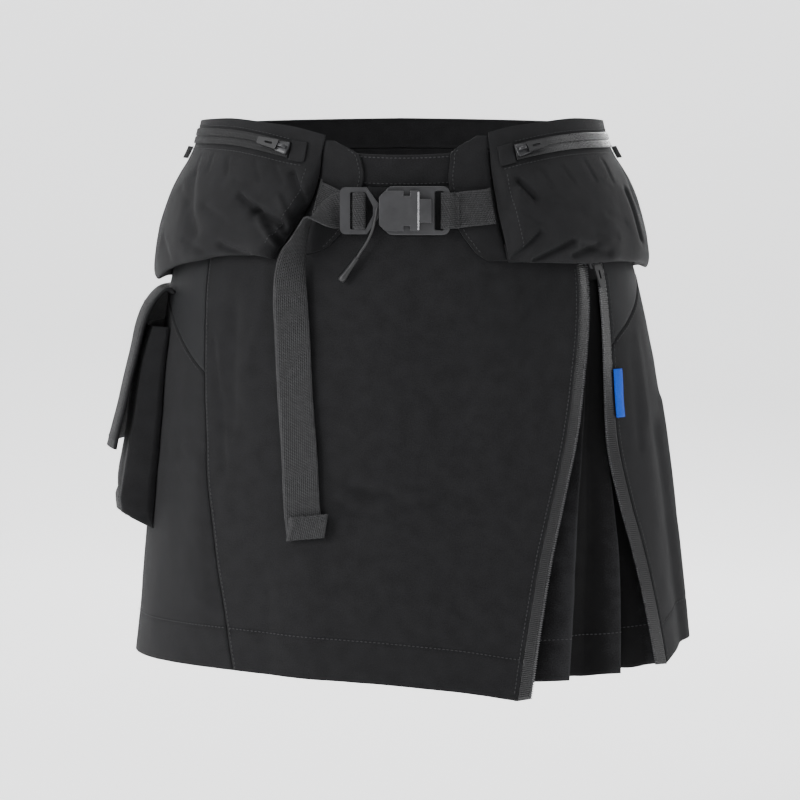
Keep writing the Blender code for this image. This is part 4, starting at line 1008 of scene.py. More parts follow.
def bag_rise(side, angle, height, puff):
    """The puff times the square root of 1 - (1 - r) squared, where r is the distance to the nearest seam as
    a share of 13 mm, less the folds."""
    to_seam = np.abs(angle - angle_at(BAG_SEAM[side], height))
    nearest = np.minimum(to_seam, np.abs(side * BAG_REAR_ANGLE - angle))
    reach = np.clip(nearest * MM_PER_DEGREE / BAG_EDGE_ROUND, 0, 1)
    root = np.interp(bag_share(side, angle, height), BAG_ROOT["down"], BAG_ROOT["out"])
    proud = np.maximum(puff - root, 0) * np.sqrt(1 - (1 - reach) ** 2)
    crumple = 0.8 * ripple(angle * MM_PER_DEGREE, height, 19, 20 + side) * np.clip((-height - 20) / 20, 0, 1)
    crumple = crumple + 0.15 * ripple(angle * MM_PER_DEGREE, height, 7, 30 + side)
    folds = fold_depth(BAG_FOLDS, angle, height) + 0.7 * fold_depth(SMALL_BAG_FOLDS, angle, height) + crumple
    return root + proud - np.clip(proud / FOLDED_WHEN_PROUD, 0, 1) * folds


def smooth_puff(side, angle, height):
    """The puff above the bag's roll, from the table's first 12 rows, without seams and folds."""
    share = bag_share(side, angle, height)
    return curve_at(share, BAG_PUFF["down"][:ABOVE_ROLL], BAG_PUFF["out"][:ABOVE_ROLL])


def bag_out(side, angle, height):
    """How far a bag's outer face stands off the body above its roll."""
    return bag_rise(side, angle, height, smooth_puff(side, angle, height))


def on_bag(side):
    return lambda angle, height, lift: skin(angle, height, bag_out(side, angle, height) + lift)


finer = np.arange(0, 14.001, 0.125)
bag_down = curve_at(finer, np.arange(15), BAG_PUFF["down"])
bag_puff = curve_at(finer, np.arange(15), BAG_PUFF["out"])
bag_across = np.interp(np.arange(0, 20.001, 0.125), np.arange(21), BAG_ACROSS)
bag_across[-1] = 1.0
for end, side in (("right", -1), ("left", 1)):
    front = lambda h: angle_at(BAG_SEAM[side], h) + side * 0.15
    rear = straight(side * BAG_REAR_ANGLE)
    edges = (rear, front) if side < 0 else (front, rear)
    across = 1 - bag_across[::-1] if side < 0 else bag_across
    share = across[None, :] + 0 * bag_down[:, None]
    angle = edges[0](-50.0) + (edges[1](-50.0) - edges[0](-50.0)) * share
    for _ in range(12):
        top, low = bag_height_at(BAG_TOP, angle), bag_height_at(BAG_BOTTOM[side], angle)
        height = top + (low - top) * bag_down[:, None]
        angle = edges[0](height) + (edges[1](height) - edges[0](height)) * across[None, :]
    points = skin(angle, height, bag_rise(side, angle, height, bag_puff[:, None] + 0 * angle))
    sewn_sheet(f"hip_bag_{end}", points, 1.2, "bag_cloth")

# %% [markdown]
# The flat leaf of cloth in front of each bag is one more panel, held 2.2 mm off the front so that it lies on
# it. The belt passes over both leaves.

# %% The leaves beside the belt
for end, left_edge, right_edge, top, bottom in (
    ("right", BAG_SEAM[-1], WING_EDGE[-1], -10.0, -88.5),
    ("left", WING_EDGE[1], BAG_SEAM[1], -6.5, -93.5),
):
    panel(
        f"wing_{end}", lambda h: angle_at(left_edge, h), lambda h: angle_at(right_edge, h),
        [straight(top), straight(bottom)], 14, (34,), "bag_cloth",
        out=2.2, thick=1.4, sewn="l" if end == "right" else "r",
    )

# %% [markdown]
# ## Zips
# A coated zip shows two smooth tapes that meet over its teeth, so all that is seen of the teeth is a fine
# groove. The open slit shows them: its two tapes hang apart, and a row of teeth runs down each free edge.

# %% Tapes over the bags' zips
TAPE_THICK = 0.9
HALF_TAPE = np.array([5.6, 5.3, 4.4, 3.2, 2.0, 1.1, 0.6, 0.28])
ZIP_SHIFT = np.concatenate([HALF_TAPE, [0], -HALF_TAPE[::-1]])
for end, side in (("right", -1), ("left", 1)):
    for part, (first, last), stretch, columns, groove, finish in (
        ("bag_zip", (31.5, 84.0), 1.0, 90, 0.75, "bag_tape"),
        ("zip_end_patch", (26.4, 31.0), 1.28, 14, 0.0, "bag_cloth"),
    ):
        away = np.linspace(first, last, columns)[None, :] * side
        away = away[:, ::-1] if side < 0 else away
        shift = ZIP_SHIFT[:, None] * stretch
        angle, height = np.broadcast_arrays(away, bag_height_at(ZIP_LINE[side], away) + shift)
        out = bag_out(side, angle, height) + 1.6
        out = out - groove * np.exp(-((shift / 0.42) ** 2))
        out = out - 0.35 * np.exp(-(((np.abs(shift) - HALF_TAPE[0] * stretch) / 0.5) ** 2))
        points = skin(angle, height, out)
        cloth_piece(f"{part}_{end}_tape", points, TAPE_THICK, finish, [f"{part}_{end}"])

# %% The slit's tapes and their teeth
SLIT_TAPE_WIDTH = 9.0


def front_tape(share, height, lift=0.0):
    """The front panel's tape goes on from its edge, 9 mm wide, on the body. Below a share of 0 it lies
    under the panel, 1.5 mm deeper."""
    edge = slit_front(height) + degrees_of(0.2, height)
    rounded = 0.25 * np.exp(-((share * 9.0 / 0.8) ** 2)) + 0.3 * np.exp(-(((1 - share) * 9.0 / 0.7) ** 2))
    under = 1.5 * np.clip(-share / 0.06, 0, 1)
    return skin(edge + degrees_of(SLIT_TAPE_WIDTH, height) * share, height + share, lift - rounded - under)


def side_tape(share, height, lift=0.0):
    """The side panel's tape turns in as it goes down: its width is split between across and inwards by the
    cosine and the sine of the turn."""
    turn = curve_at(height, SIDE_TAPE_TURN["height"], SIDE_TAPE_TURN["radians"])
    edge = slit_side(height) - degrees_of(0.2 + np.sin(turn), height)
    away = 1 - share
    under = 1.5 * np.clip(-away / 0.06, 0, 1)
    return skin(
        edge - degrees_of(SLIT_TAPE_WIDTH, height) * np.cos(turn) * away, height + 0 * away,
        lift - under - SLIT_TAPE_WIDTH * np.sin(turn) * away,
    )


tape_share = np.concatenate([[-0.16, -0.06], np.linspace(0, 1, 9)])[None, :]
front_rows, side_rows = np.linspace(-90, -399, 120)[:, None], np.linspace(-90, -385.5, 120)[:, None]
for end, points in (
    ("right", front_tape(tape_share, front_rows)),
    ("left", side_tape(1 - tape_share[:, ::-1], side_rows)),
):
    cloth_piece(f"slit_tape_{end}_band", points, TAPE_THICK, "slit_tape", [f"slit_tape_{end}"])
rows = [
    line_on(front_tape, 0.93, front_rows[:, 0], 0.15),
    line_on(side_tape, 0.07, side_rows[:, 0], 0.15),
]
TOOTH_SPACING, TOOTH = 1.6, (0.55, 0.6, 1.5)
bead_piece("slit_teeth", rows, TOOTH_SPACING, TOOTH, "teeth")

# %% [markdown]
# A slider is a small casting: a rounded body that narrows towards its tail, with a bridge over it that
# holds the pull tab. The body is a superellipsoid, whose sines and cosines are taken to a power below 1, so
# that a ball becomes a block with soft edges.

# %% Sliders and pull tabs
def slider_body(middle, axes, size):
    """A superellipsoid with powers of 0.35 and 0.5, narrowed by a sixth towards its tail."""
    up, turn = np.linspace(-math.pi / 2, math.pi / 2, 17)[:, None], np.linspace(0, 2 * math.pi, 33)[None, :-1]
    power = lambda value, p: np.sign(value) * np.abs(value) ** p
    x = power(np.cos(up), 0.5) * power(np.cos(turn), 0.35)
    y = power(np.cos(up), 0.5) * power(np.sin(turn), 0.35) * (1 - 0.16 * x)
    z = power(np.sin(up), 0.5) + 0 * turn
    return middle + (np.stack([x, y, z], -1) * np.array(size) / 2) @ np.array(axes)


def tube_along(points, radii, up, sides=12):
    """A tube with two radii: a ring lies in the plane of the outward direction and the one across."""
    along = np.gradient(points, axis=0)
    along = along / np.linalg.norm(along, axis=1, keepdims=True)
    across = np.cross(along, up)
    across = across / np.linalg.norm(across, axis=1, keepdims=True)
    lift = np.cross(across, along)
    turn = (np.arange(sides) / sides * 2 * math.pi)[None, :, None]
    ring = np.cos(turn) * across[:, None] * radii[0] + np.sin(turn) * lift[:, None] * radii[1]
    rings = points[:, None] + ring
    return np.concatenate([points[:1, None] + 0 * rings[:1], rings, points[-1:, None] + 0 * rings[-1:]])


def bridge_over(middle, axes, size, lift):
    """Half a flattened circle over the slider's rear: along it goes the cosine, above it the sine to a
    power. It ends before the tab's hinge, so that the tab swings clear."""
    turn = np.linspace(0, math.pi, 21)
    x = (0.28 * np.cos(turn) - 0.1) * size[0]
    z = size[2] / 2 - 0.3 + np.sin(turn) ** 0.6 * lift
    points = middle + x[:, None] * axes[0] + z[:, None] * axes[2]
    return tube_along(points, (1.15, 0.4), axes[2] + 0.001 * axes[0])


def flat_solid(name, outlines, thick, origin, axes, finish, nodes=(), rides="root", bevel=0.25):
    """A flat outline with its holes, made thick, carried to its place in the mesh itself and bevelled."""
    curve = bpy.data.curves.new(name, "CURVE")
    curve.dimensions = "2D"
    curve.fill_mode = "BOTH"
    curve.extrude = thick / 2 * MM
    for outline in outlines:
        spline = curve.splines.new("POLY")
        spline.points.add(len(outline) - 1)
        spline.use_cyclic_u = True
        spline.points.foreach_set("co", np.array([(x * MM, y * MM, 0, 1) for x, y in outline]).ravel())
    drawn = bpy.data.objects.new(name + "_outline", curve)
    scene.collection.objects.link(drawn)
    bpy.context.view_layer.update()
    mesh = bpy.data.meshes.new_from_object(drawn.evaluated_get(bpy.context.evaluated_depsgraph_get()))
    bpy.data.objects.remove(drawn)
    place = Matrix(np.array(axes).tolist()).transposed().to_4x4()
    place.translation = Vector(origin) * MM
    mesh.transform(place)
    made = bmesh.new()
    made.from_mesh(mesh)
    bmesh.ops.remove_doubles(made, verts=made.verts, dist=0.00001)
    bmesh.ops.recalc_face_normals(made, faces=made.faces)
    bmesh.ops.dissolve_limit(made, angle_limit=0.01, verts=made.verts, edges=made.edges)
    made.to_mesh(mesh)
    made.free()
    piece = add_piece(name, mesh, finish, nodes, rides)
    edge = piece.modifiers.new("edges", "BEVEL")
    edge.width = bevel * MM
    edge.segments = 3
    edge.limit_method = "ANGLE"
    edge.angle_limit = math.radians(40)
    edge.harden_normals = True
    return piece


def rounded(points, radius, steps=5):
    """Each corner of an outline becomes a curve between two points at the radius from it, pulled to the
    corner as a quadratic curve is."""
    made = []
    for number, corner in enumerate(points):
        here = Vector(corner)
        before = here + (Vector(points[number - 1]) - here).normalized() * radius
        after = here + (Vector(points[(number + 1) % len(points)]) - here).normalized() * radius
        for step in range(steps + 1):
            s = step / steps
            made.append(tuple(before * (1 - s) ** 2 + here * 2 * s * (1 - s) + after * s * s))
    return made


TAB_OUTLINE = [(-0.8, 3.7), (-0.8, -3.7), (15.5, -2.6), (15.5, 2.6)]
TAB_SLOT = [(3.2, 0.9), (3.2, -0.9), (9.5, -0.7), (9.5, 0.7)]
TAB_THICK = 1.4
SLIDER_SIZE = (11.0, 8.4, 2.6)
SLIT_SLIDER_SIZE = (9.0, 9.5, 2.6)
SLIDER_ANGLE = 33.5


def unit(vector):
    return np.array(vector) / np.linalg.norm(vector)


def axes_from(along, outward):
    """The direction along, the one across, and the outward one less its part along."""
    outward = unit(outward - along * np.dot(outward, along))
    return np.array([along, np.cross(outward, along), outward])


def slider_with_tab(node, axes, tab_node, body_name, size):
    """The slider stands where its solid does, and its tab lies 0.5 mm over it, on the solids' hinge line."""
    low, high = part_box(node)
    middle = np.array((low + high) / 2) / MM
    closed_grid(node + "_casting", slider_body(middle, axes, size), "hardware", [node])
    closed_grid(node + "_bridge", bridge_over(middle, axes, size, 3.3), "hardware")
    hinge = middle + axes[0] * 3.5 + axes[2] * (size[2] / 2 + 0.5 + TAB_THICK / 2)
    flat_solid(
        node + "_pull", [rounded(TAB_OUTLINE, 0.7), rounded(TAB_SLOT, 0.6, 3)], TAB_THICK, hinge, axes,
        "rubber", [tab_node], body_name, 0.4,
    )


for end, side in (("right", -1), ("left", 1)):
    on_zip = lambda a, h: skin(a, h, smooth_puff(side, a, h) + 1.6)
    place, level = side * SLIDER_ANGLE, float(bag_height_at(ZIP_LINE[side], SLIDER_ANGLE))
    ahead, ahead_level = side * 36.5, float(bag_height_at(ZIP_LINE[side], 36.5))
    here = on_zip(place, level)
    along = unit(on_zip(ahead, ahead_level) - here)
    outward = np.cross(on_zip(place, level - 1.0) - here, on_zip(place + 1, level) - here)
    slider_with_tab(f"bag_slider_{end}", axes_from(along, outward), f"bag_pull_tab_{end}", f"bag_tab_{end}",
                    SLIDER_SIZE)

here = skin(53.6, -96.5)
down = unit(skin(53.6, -97.5) - here)
outward = np.cross(down, skin(54.6, -96.5) - here)
slider_with_tab("slit_slider", axes_from(down, outward), "slit_pull_tab", "slit_tab", SLIT_SLIDER_SIZE)
print("three sliders with their pull tabs")

# %% [markdown]
# ## The belt
# Two lengths of webbing come out of the bags' front seams. The one on the wearer's right loops over the
# frame's bar, turns forward and falls as a long tail, which twists from lying on edge to lying flat. A strap
# is two edges and straight lines between them, so the twist comes out of the two edges alone.

# %% Webbing as a strip between two edges
BELT_HEIGHT = -58.0
WEBBING_WIDTH = 25.0
WEBBING = 1.2
BELT_PATH = {
    "right": {
        "across": (-59.6, -56, -52, -48, -44, -39, -34, -29, -27, -26.1, -26, -26.9, -29.9, -32.9, -33.9,
                   -34.2, -36.2, -39.5, -44),
        "front": (104.7, 106.0, 107.2, 108.5, 109.7, 110.8, 111.6, 112.0, 112.7, 114.2, 116.4, 118.1,
                  118.4, 118.0, 116.4, 114.4, 113.3, 112.9, 112.4),
        "rise": 9.0, "slant": 3.6,
    },
    "left": {
        "across": (63.4, 59, 54, 48, 42, 37, 32, 29.2, 27.8, 27.4, 27.9, 29.7, 32.7, 34.3, 36.2, 39.7),
        "front": (104.2, 105.8, 107.4, 109.0, 110.3, 110.9, 111.5, 111.6, 112.3, 114.0, 115.8, 116.6,
                  116.5, 115.2, 112.9, 111.9),
        "rise": 3.0, "slant": -2.2,
    },
}
BELT_TAIL = {
    "upper_x": (-46.4, -50.5, -57, -61.3, -64.5, -66.4, -67.6, -67.2, -65.9, -64.3, -61.9, -59.2, -56.9,
                -54.9),
    "upper_z": (-45.5, -48.5, -54, -60.6, -68.2, -78, -88, -104, -120, -145, -192, -226, -266, -284),
    "upper_out": (7.4, 6.8, 6.2, 6.0, 6.0, 6.0, 6.0, 5.5, 4.6, 4.4, 4.2, 4.0, 4.0, 4.0),
    "lower_x": (-46.4, -53, -60.5, -66.4, -71.4, -77, -84, -88.8, -89.9, -89, -86.6, -84.1, -82.1, -80),
    "lower_z": (-70.5, -68, -64, -61.7, -68.4, -77, -86, -102, -119.5, -143.5, -191, -227, -269, -287),
    "lower_out": (7.4, 19, 27.5, 30, 29.5, 28, 24, 17.5, 10.5, 6.6, 4.4, 4.0, 4.0, 4.0),
}


def front_place(across, height, out):
    """The point straight in front of the ellipse at a distance across."""
    width = np.where(across > 0, half_size("left", height), half_size("right", height))
    front = -half_size("front", height) * np.sqrt(1 - (across / width) ** 2) - out
    return np.stack([across, front, height], -1)


def belt_edges(path):
    """The strap's edges, half a width up and down from a line that climbs to its root in the bag's seam."""
    across, front = np.array(path["across"], float), np.array(path["front"], float)
    to_root = np.clip(1 - np.arange(len(across)) / 5, 0, 1)
    middle = BELT_HEIGHT + path["rise"] * to_root
    half, lean = WEBBING_WIDTH / 2, WEBBING_WIDTH / 2 * 0.13 * to_root
    cut = path["slant"] * (np.arange(len(across)) == 0)
    upper = np.stack([across + cut, -front + lean, middle + half], -1)
    lower = np.stack([across - cut, -front - lean, middle - half], -1)
    return upper, lower


def strip(upper, lower, columns=9):
    share = np.linspace(0, 1, columns)[None, :, None]
    return upper[:, None, :] * (1 - share) + lower[:, None, :] * share


def refined(points, times):
    """More rows by the same smooth curve, an equal number between every two."""
    rows = np.arange(len(points))
    wanted = np.linspace(0, len(points) - 1, (len(points) - 1) * times + 1)
    return np.stack([curve_at(wanted, rows, points[:, axis]) for axis in range(3)], -1)


def tail_edge(edge):
    """One edge of the tail: 96 rows on a smooth curve through its table."""
    across, height, out = (np.array(BELT_TAIL[edge + axis], float) for axis in ("_x", "_z", "_out"))
    return smooth_rows(front_place(across, height, out), 96)


def strap(name, node, points, thickness=WEBBING):
    """Webbing, whose wall lies on both sides of its grid."""
    return cloth_piece(name, points, thickness, "webbing", [node], 0.0)


upper, lower = belt_edges(BELT_PATH["right"])
tail_upper, tail_lower = tail_edge("upper"), tail_edge("lower")
upper = np.concatenate([refined(upper, 4)[:-1], tail_upper])
lower = np.concatenate([refined(lower, 4)[:-1], tail_lower])
strap("belt_webbing_right_strap", "belt_webbing_right", strip(upper, lower))
upper, lower = belt_edges(BELT_PATH["left"])
left_strap = strip(refined(upper, 4)[::-1], refined(lower, 4)[::-1])
strap("belt_webbing_left_strap", "belt_webbing_left", left_strap)
upwards = unit((1.6, 0.1, 10.0))
edge = unit(tail_upper[-1] - tail_lower[-1])
tip_rows = np.linspace(17.0, 0.0, 18)[:, None] * upwards[None, :] + np.array([0, -WEBBING - 0.7, 0])
tip_strap = strip(tail_upper[-1] + edge * 0.8 + tip_rows, tail_lower[-1] - edge * 0.8 + tip_rows)
strap("belt_tip_fold", "belt_tip", tip_strap)
tail_length = np.linalg.norm(np.diff((tail_upper + tail_lower) / 2, axis=0), axis=1).sum()
print("tail of the belt:", round(float(tail_length)), "mm")

# %% [markdown]
# Each bag has a small loop of webbing in its side: a strip bent round half a circle, with its width upright.

# %% The loops in the bags' sides
LOOP_WIDTH = 9.0
LOOP_HALF_SPAN, LOOP_ROOT, LOOP_REACH = 2.6, 0.5, 3.4
for end, side in (("right", -1), ("left", 1)):
    turn = np.linspace(0, math.pi, 25)[:, None]
    width = np.linspace(-LOOP_WIDTH / 2, LOOP_WIDTH / 2, 7)[None, :]
    height = -21.0 + width + 0 * turn
    angle = side * 88.0 + (LOOP_HALF_SPAN * np.cos(turn) + 0 * width) / MM_PER_DEGREE
    out = smooth_puff(side, angle, height) + LOOP_ROOT + LOOP_REACH * np.sin(turn)
    strap(f"side_tab_{end}_loop", f"side_tab_{end}", skin(angle, height, out), 0.9)

# %% [markdown]
# ## The buckle
# Three flat metal parts lie one over another: a base behind, the frame that carries the tail, and a plate
# that covers the catch. The plate stays bare: it holds no mark. Every edge is bevelled, because no real metal
# edge is sharp and the bevel is what catches the light.

# %% The frame, the plate and the base
FACING = np.array([(1, 0, 0), (0, 0, 1), (0, -1, 0)], float)


def buckle_part(name, outlines, back, front, node, bevel=0.55, finish="hardware"):
    middle = (0, -(back + front) / 2, BELT_HEIGHT)
    return flat_solid(name, outlines, front - back, middle, FACING, finish, node, bevel=bevel)


half, neck, window = 16.3, 5.0, 13.0
frame_end, base_end = -43.3, 33.2
frame_outline = [
    *[(frame_end + 4 - 4 * math.sin(t), half - 4 + 4 * math.cos(t)) for t in np.linspace(0, math.pi / 2, 7)],
    *[(frame_end + 4 - 4 * math.cos(t), -half + 4 - 4 * math.sin(t)) for t in np.linspace(0, math.pi / 2, 7)],
    (-24.6, -half), (-16.5, -neck), (-16.5, neck), (-24.6, half),
]
frame_slot = rounded([(-36.2, window), (-36.2, -window), (-32.8, -window), (-32.8, window)], 1.2, 3)
frame_mouth = rounded(
    [(-27.3, window), (-27.3, -window), (-25.4, -window), (-20.2, -3.0), (-20.2, 3.0), (-25.4, window)],
    0.8, 2,
)
buckle_part("buckle_frame_metal", [frame_outline, frame_slot, frame_mouth], 114.2, 117.2, ["buckle_frame"])
half, knuckle = 14.0, 8.2
plate_outline = [
    (-16.1, half - 4.4), (-16.1, 4.4 - half), (-11.7, -half), (1.2, -half), (1.2, 3.6 - half),
    (5.4, 3.6 - half), (5.4, -half), (11.4, -half), (11.4, -knuckle), (20.4, -knuckle), (20.4, knuckle),
    (11.4, knuckle), (11.4, half), (5.4, half), (5.4, half - 3.6), (1.2, half - 3.6), (1.2, half),
    (-11.7, half),
]
buckle_part("buckle_plate_metal", [plate_outline], 115.7, 120.9, ["buckle_plate"], 0.5)
lip = [(10.7, 13.2), (10.7, -13.2), (11.9, -13.2), (11.9, 13.2)]
buckle_part("buckle_lip", [lip], 119.8, 121.3, [], 0.3, "bare_metal")
base_outline = rounded([(-11.8, 17.0), (-11.8, -17.0), (base_end, -17.0), (base_end, 17.0)], 6.0, 7)
base_slot = rounded([(22.8, 13.6), (22.8, -13.6), (28.9, -13.6), (28.9, 13.6)], 1.5, 3)
buckle_part("buckle_base_metal", [base_outline, base_slot], 112.6, 115.4, ["buckle_base"], 0.8)
print("buckle:", round(base_end - frame_end, 1), "mm wide from the frame's end to the base's")

# %% [markdown]
# ## The label, the pocket and its flap
# The label is a folded strip of plain blue cloth caught in the seam. The pocket is a box open at the top:
# its gussets lift a panel off the hip. Its flap hangs from above, so its lower end stands out furthest.

# %% The side label
label_height, label_share = np.linspace(-172, -206, 26)[:, None], np.linspace(0, 1, 9)[None, :]
label_angle = slit_side(label_height) - 0.2 + 3.2 * label_share
label_bow = 0.5 * np.sin(math.pi * label_share) + 0.25 * np.sin(label_height / 6.0) * label_share
label_points = skin(label_angle, label_height, 1.5 + label_bow)
cloth_piece("side_label_strip", label_points, 0.8, "label_cloth", ["side_label"])

# %% The pocket on the right hip
POCKET = {
    "height": (-145, -160, -177, -195, -212, -238, -258, -270, -279, -284.5, -290.5),
    "out": (13, 16, 18, 19.4, 20.5, 22.8, 24.2, 25, 23, 14, 1.3),
}
FLAP = {
    "height": (-119.5, -117, -118.2, -125, -134, -146, -160, -183, -208, -234),
    "out": (0.8, 4.5, 9, 14.5, 18.6, 21.2, 23, 26, 29.8, 34),
}
POCKET_FOLDS = (
    (-78, -172, -77, -262, 5, 1.6),
    (-84, -268, -100, -256, 8, 1.6),
    (-118, -170, -119, -250, 6, 1.6),
    (-90, -200, -96, -244, 9, -1.1),
    (-108, -190, -104, -240, 9, 1.2),
    (-100, -276, -112, -270, 5, 1.2),
)
REAR, FRONT = -124.0, -74.5


def hip_place(angle, height, out):
    """Moved out halfway between the body's normal and the wearer's right."""
    here = body(angle, height)
    way = skin(angle, height, 1.0 + 0 * angle) - here + np.array([-1.0, 0, 0])
    return here + way / np.linalg.norm(way, axis=-1, keepdims=True) * out[..., None]


steps = np.linspace(0, 10, 81)[:, None]
pocket_height = np.interp(steps, np.arange(11), POCKET["height"])
pocket_out = np.interp(steps, np.arange(11), POCKET["out"])
wall_angles = np.array([0.8, 0.65, 0.5, 0.3, 0.15])
wall_shares = np.array([0, 0.3, 0.62, 0.86, 0.955])
face = np.linspace(REAR, FRONT, 61)
pocket_angle = np.concatenate([REAR - wall_angles, face, FRONT + wall_angles[::-1]])
pocket_share = np.concatenate([wall_shares, np.ones(61), wall_shares[::-1]])
angle, height = np.broadcast_arrays(pocket_angle[None, :], pocket_height)
inside = np.clip(np.minimum(angle - REAR, FRONT - angle) / 4, 0, 1) * np.clip((height + 290) / 14, 0, 1)
loose = fold_depth(POCKET_FOLDS, angle, height) + 0.6 * ripple(angle * MM_PER_DEGREE, height, 15, 41)
out = np.maximum(pocket_out * pocket_share[None, :], 1.3) - loose * inside
cloth = hip_place(angle, height, out)
sewn_sheet("cargo_pocket", cloth, 1.2, "bag_cloth")

flap_steps = np.linspace(0, 9, 73)[:, None]
flap_height = curve_at(flap_steps, np.arange(10), FLAP["height"])
flap_out = curve_at(flap_steps, np.arange(10), FLAP["out"])
flap_angle = np.linspace(REAR - 1.5, FRONT + 1.2, 66)[None, :]
angle, height = np.broadcast_arrays(flap_angle, flap_height)
hang = np.clip((-height - 125) / 40, 0, 1)
sway = 0.9 * ripple(angle * MM_PER_DEGREE, height, 24, 51) + 0.9 * np.exp(-(((angle + 100) / 7) ** 2))
edge_in = np.minimum(np.minimum(angle - REAR + 1.5, FRONT + 1.2 - angle) * 3.2, height + 234)
pressed = 0.35 * np.exp(-(((edge_in - 3.2) / 0.9) ** 2)) + 0.5 * np.exp(-((edge_in / 0.8) ** 2))
flap_cloth = hip_place(angle, height, flap_out + 0 * angle - hang * sway - pressed)
sewn_sheet("pocket_flap", flap_cloth, 2.2, "bag_cloth")

# %% [markdown]
# ## Stitching
# All seams that a sewer would topstitch get their row of beads: along the waistband, the princess seam, the
# yokes, the slit, the hem, the bags, the leaves, the pocket and the belt.

# %% Rows on the skirt
round_front, round_back = np.linspace(-89, 89, 260), np.linspace(91, 269, 260)
rows = [
    line_on(skin, round_front, waist_bottom(round_front) + 2.2),
    line_on(skin, round_back, waist_bottom(round_back) + 2.2),
    line_on(skin, round_front, waist_top(round_front) - 2.4),
    line_on(skin, round_back, waist_top(round_back) - 2.4),
]
stitches("waistband_stitches", rows)
down_princess = np.linspace(-32, -380, 220)
down_front, down_side = np.linspace(-100, -394, 200), np.linspace(-104, -380, 200)
hem_front = np.linspace(float(princess(-351)) + 0.6, float(slit_front(-369)) - 0.6, 160)
hem_right, hem_back = np.linspace(-89.5, float(princess(-353)) - 0.6, 70), np.linspace(90.5, 269.5, 260)
hem_left = np.linspace(float(slit_side(-355)) + 0.6, 89.5, 50)
yoke_r, yoke_l = np.linspace(-89, -54.6, 80), np.linspace(57.5, 89, 80)
rows = [
    line_on(skin, princess(down_princess) + degrees_of(2.4, down_princess), down_princess),
    line_on(skin, slit_front(down_front) - degrees_of(2.6, down_front), down_front),
    line_on(skin, slit_side(down_side) + degrees_of(2.6, down_side), down_side),
    line_on(skin, yoke_r, yoke_right_edge(yoke_r) - 2.4),
    line_on(skin, yoke_l, yoke_left_edge(yoke_l) - 2.4),
    *[line_on(skin, part, hem_line(part)) for part in (hem_front, hem_right, hem_back, hem_left)],
]
stitches("skirt_stitches", rows)

# %% Rows on the bags, the leaves, the pleats, the pocket and the belt
rows = []
for side in (-1, 1):
    line = np.linspace(27, 100, 120) * side
    middle = bag_height_at(ZIP_LINE[side], np.abs(line))
    rows.append(line_on(on_bag(side), line, middle - 9.5))
    rows.append(line_on(on_bag(side), line[8:], middle[8:] + 7.6))
    tall = np.linspace(-30, -84, 60) if side < 0 else np.linspace(-34, -86, 60)
    rows.append(line_on(on_bag(side), angle_at(BAG_SEAM[side], tall) + side * 3.4, tall))
stitches("bag_stitches", rows)
rows = []
for side, low in ((-1, -84.0), (1, -88.0)):
    tall = np.linspace(-16, low, 70)
    rows.append(line_on(skin, angle_at(WING_EDGE[side], tall) + side * 1.1, tall, 2.35))
stitches("leaf_stitches", rows)
across_pleats = np.interp(np.linspace(0.6, 17.4, 200), np.arange(19), PLEATS["share"])
hem_share = 1 - HEM_BAND / (PLEAT_TOP - PLEAT_HEM["height"][2])
rows = [line_on(pleats_at, across_pleats, hem_share)]
stitches("pleat_stitches", rows)


def row_of(grid, line):
    """A line of points of a grid and the outward directions there, from the grid's own two slopes."""
    normal = np.cross(np.gradient(grid, axis=0), np.gradient(grid, axis=1))
    normal = normal / np.linalg.norm(normal, axis=-1, keepdims=True)
    points, outward = grid[line], normal[line]
    return points + outward * 0.12, outward


rows = [row_of(grid, line) for grid, line in (
    (cloth, (slice(2, 70), 8)), (cloth, (slice(2, 70), -9)), (cloth, (3, slice(8, -8))),
    (cloth, (68, slice(8, -8))), (flap_cloth, (slice(24, 71), 2)), (flap_cloth, (slice(24, 71), -3)),
    (flap_cloth, (70, slice(2, -2))), (flap_cloth, (28, slice(2, -2))),
)]
stitches("pocket_stitches", rows)
tip_front = tip_strap - [0, WEBBING / 2 + 0.1, 0]
rows = [
    (line, np.tile([0.0, -1, 0], (len(line), 1)))
    for line in (tip_front[2, 1:-1], tip_front[4, 1:-1], tip_front[2:16, 1], tip_front[2:16, -2])
]
bead_piece("belt_stitches", rows, 2.4, (0.9, 0.28, 0.34), "thread")

# %% [markdown]
# ## Light and floor
# The photograph is a cut-out in soft light from the front and a little from the left. Large lamps give soft
# edges to every highlight, and a pale floor far below keeps the skirt hanging where its wearer would stand.
# The floor glows a little, because the photograph's ground is white.

# %% Lamps, floor and backdrop
def lamp(name, place, aim, size, power):
    light = bpy.data.lights.new(name, "AREA")
    light.shape = "RECTANGLE"
    light.size, light.size_y = size
    light.energy = power
    held = bpy.data.objects.new(name, light)
    held.location = place
    held.rotation_euler = (Vector(aim) - Vector(place)).to_track_quat("-Z", "Y").to_euler()
    scene.collection.objects.link(held)


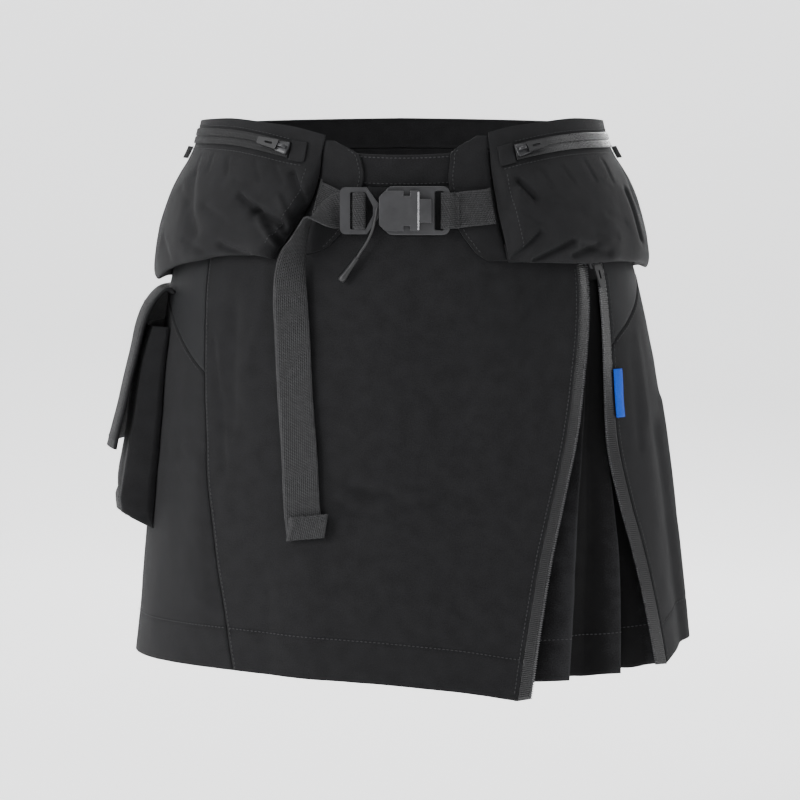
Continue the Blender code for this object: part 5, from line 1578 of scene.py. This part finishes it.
AIM = (0, 0, -0.18)
lamp("key_light", (-1.9, -1.5, 0.95), AIM, (0.9, 1.3), 52)
lamp("front_fill", (0.5, -2.6, 0.5), AIM, (1.8, 1.2), 6)
lamp("right_rim", (1.6, -0.2, 0.3), AIM, (0.5, 1.6), 8)
lamp("left_rim", (-1.5, -0.5, -0.4), AIM, (0.6, 1.4), 16)
lamp("top_light", (0, -0.2, 1.7), AIM, (1.4, 1.2), 18)
lamp("back_light", (0.3, 2.1, 0.7), AIM, (1.6, 1.2), 30)
world = bpy.data.worlds.new("pale_room")
world.use_nodes = True
world.node_tree.nodes["Background"].inputs["Color"].default_value = (0.94, 0.95, 0.97, 1)
world.node_tree.nodes["Background"].inputs["Strength"].default_value = 0.6
scene.world = world

FLOOR_HEIGHT = -0.62
across, along = np.linspace(-4, 4, 9)[None, :], np.linspace(0, 1, 60)[:, None]
run = along * 8.0
bend = np.clip((run - 5.0) / 1.5, 0, 1) * math.pi / 2
floor_y = -3.0 + np.minimum(run, 5.0) + 0.95 * np.sin(bend) + 0 * across
floor_z = FLOOR_HEIGHT + 0.95 * (1 - np.cos(bend)) + np.maximum(run - 6.5, 0) * 2 + 0 * across
floor_points = np.stack([across + 0 * along, floor_y, floor_z], -1)
floor_mesh = grid_mesh("floor", floor_points[::-1] / MM)
floor_finish = Finish("floor_paint", Roughness=0.85, Specular_IOR_Level=0.2, Emission_Strength=0.9)
floor_finish.shader.inputs["Emission Color"].default_value = (1, 1, 1, 1)
grain = floor_finish.noise(floor_finish.in_space(), 3.0, 3.0)
pale = [(0.3, (0.9, 0.9, 0.905)), (0.7, (0.93, 0.93, 0.935))]
floor_finish.feed("Base Color", floor_finish.ramp(grain, pale))
floor_mesh.materials.append(floor_finish.material)
floor = bpy.data.objects.new("floor", floor_mesh)
scene.collection.objects.link(floor)
floor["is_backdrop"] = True

# %% Compare the dressed skirt's box with that of the solids
new_low, new_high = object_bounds()
growth = [round((a - b) * 1000, 1) for a, b in zip((*cad_low, *new_high), (*new_low, *cad_high))]
print("grown by mm:", growth)
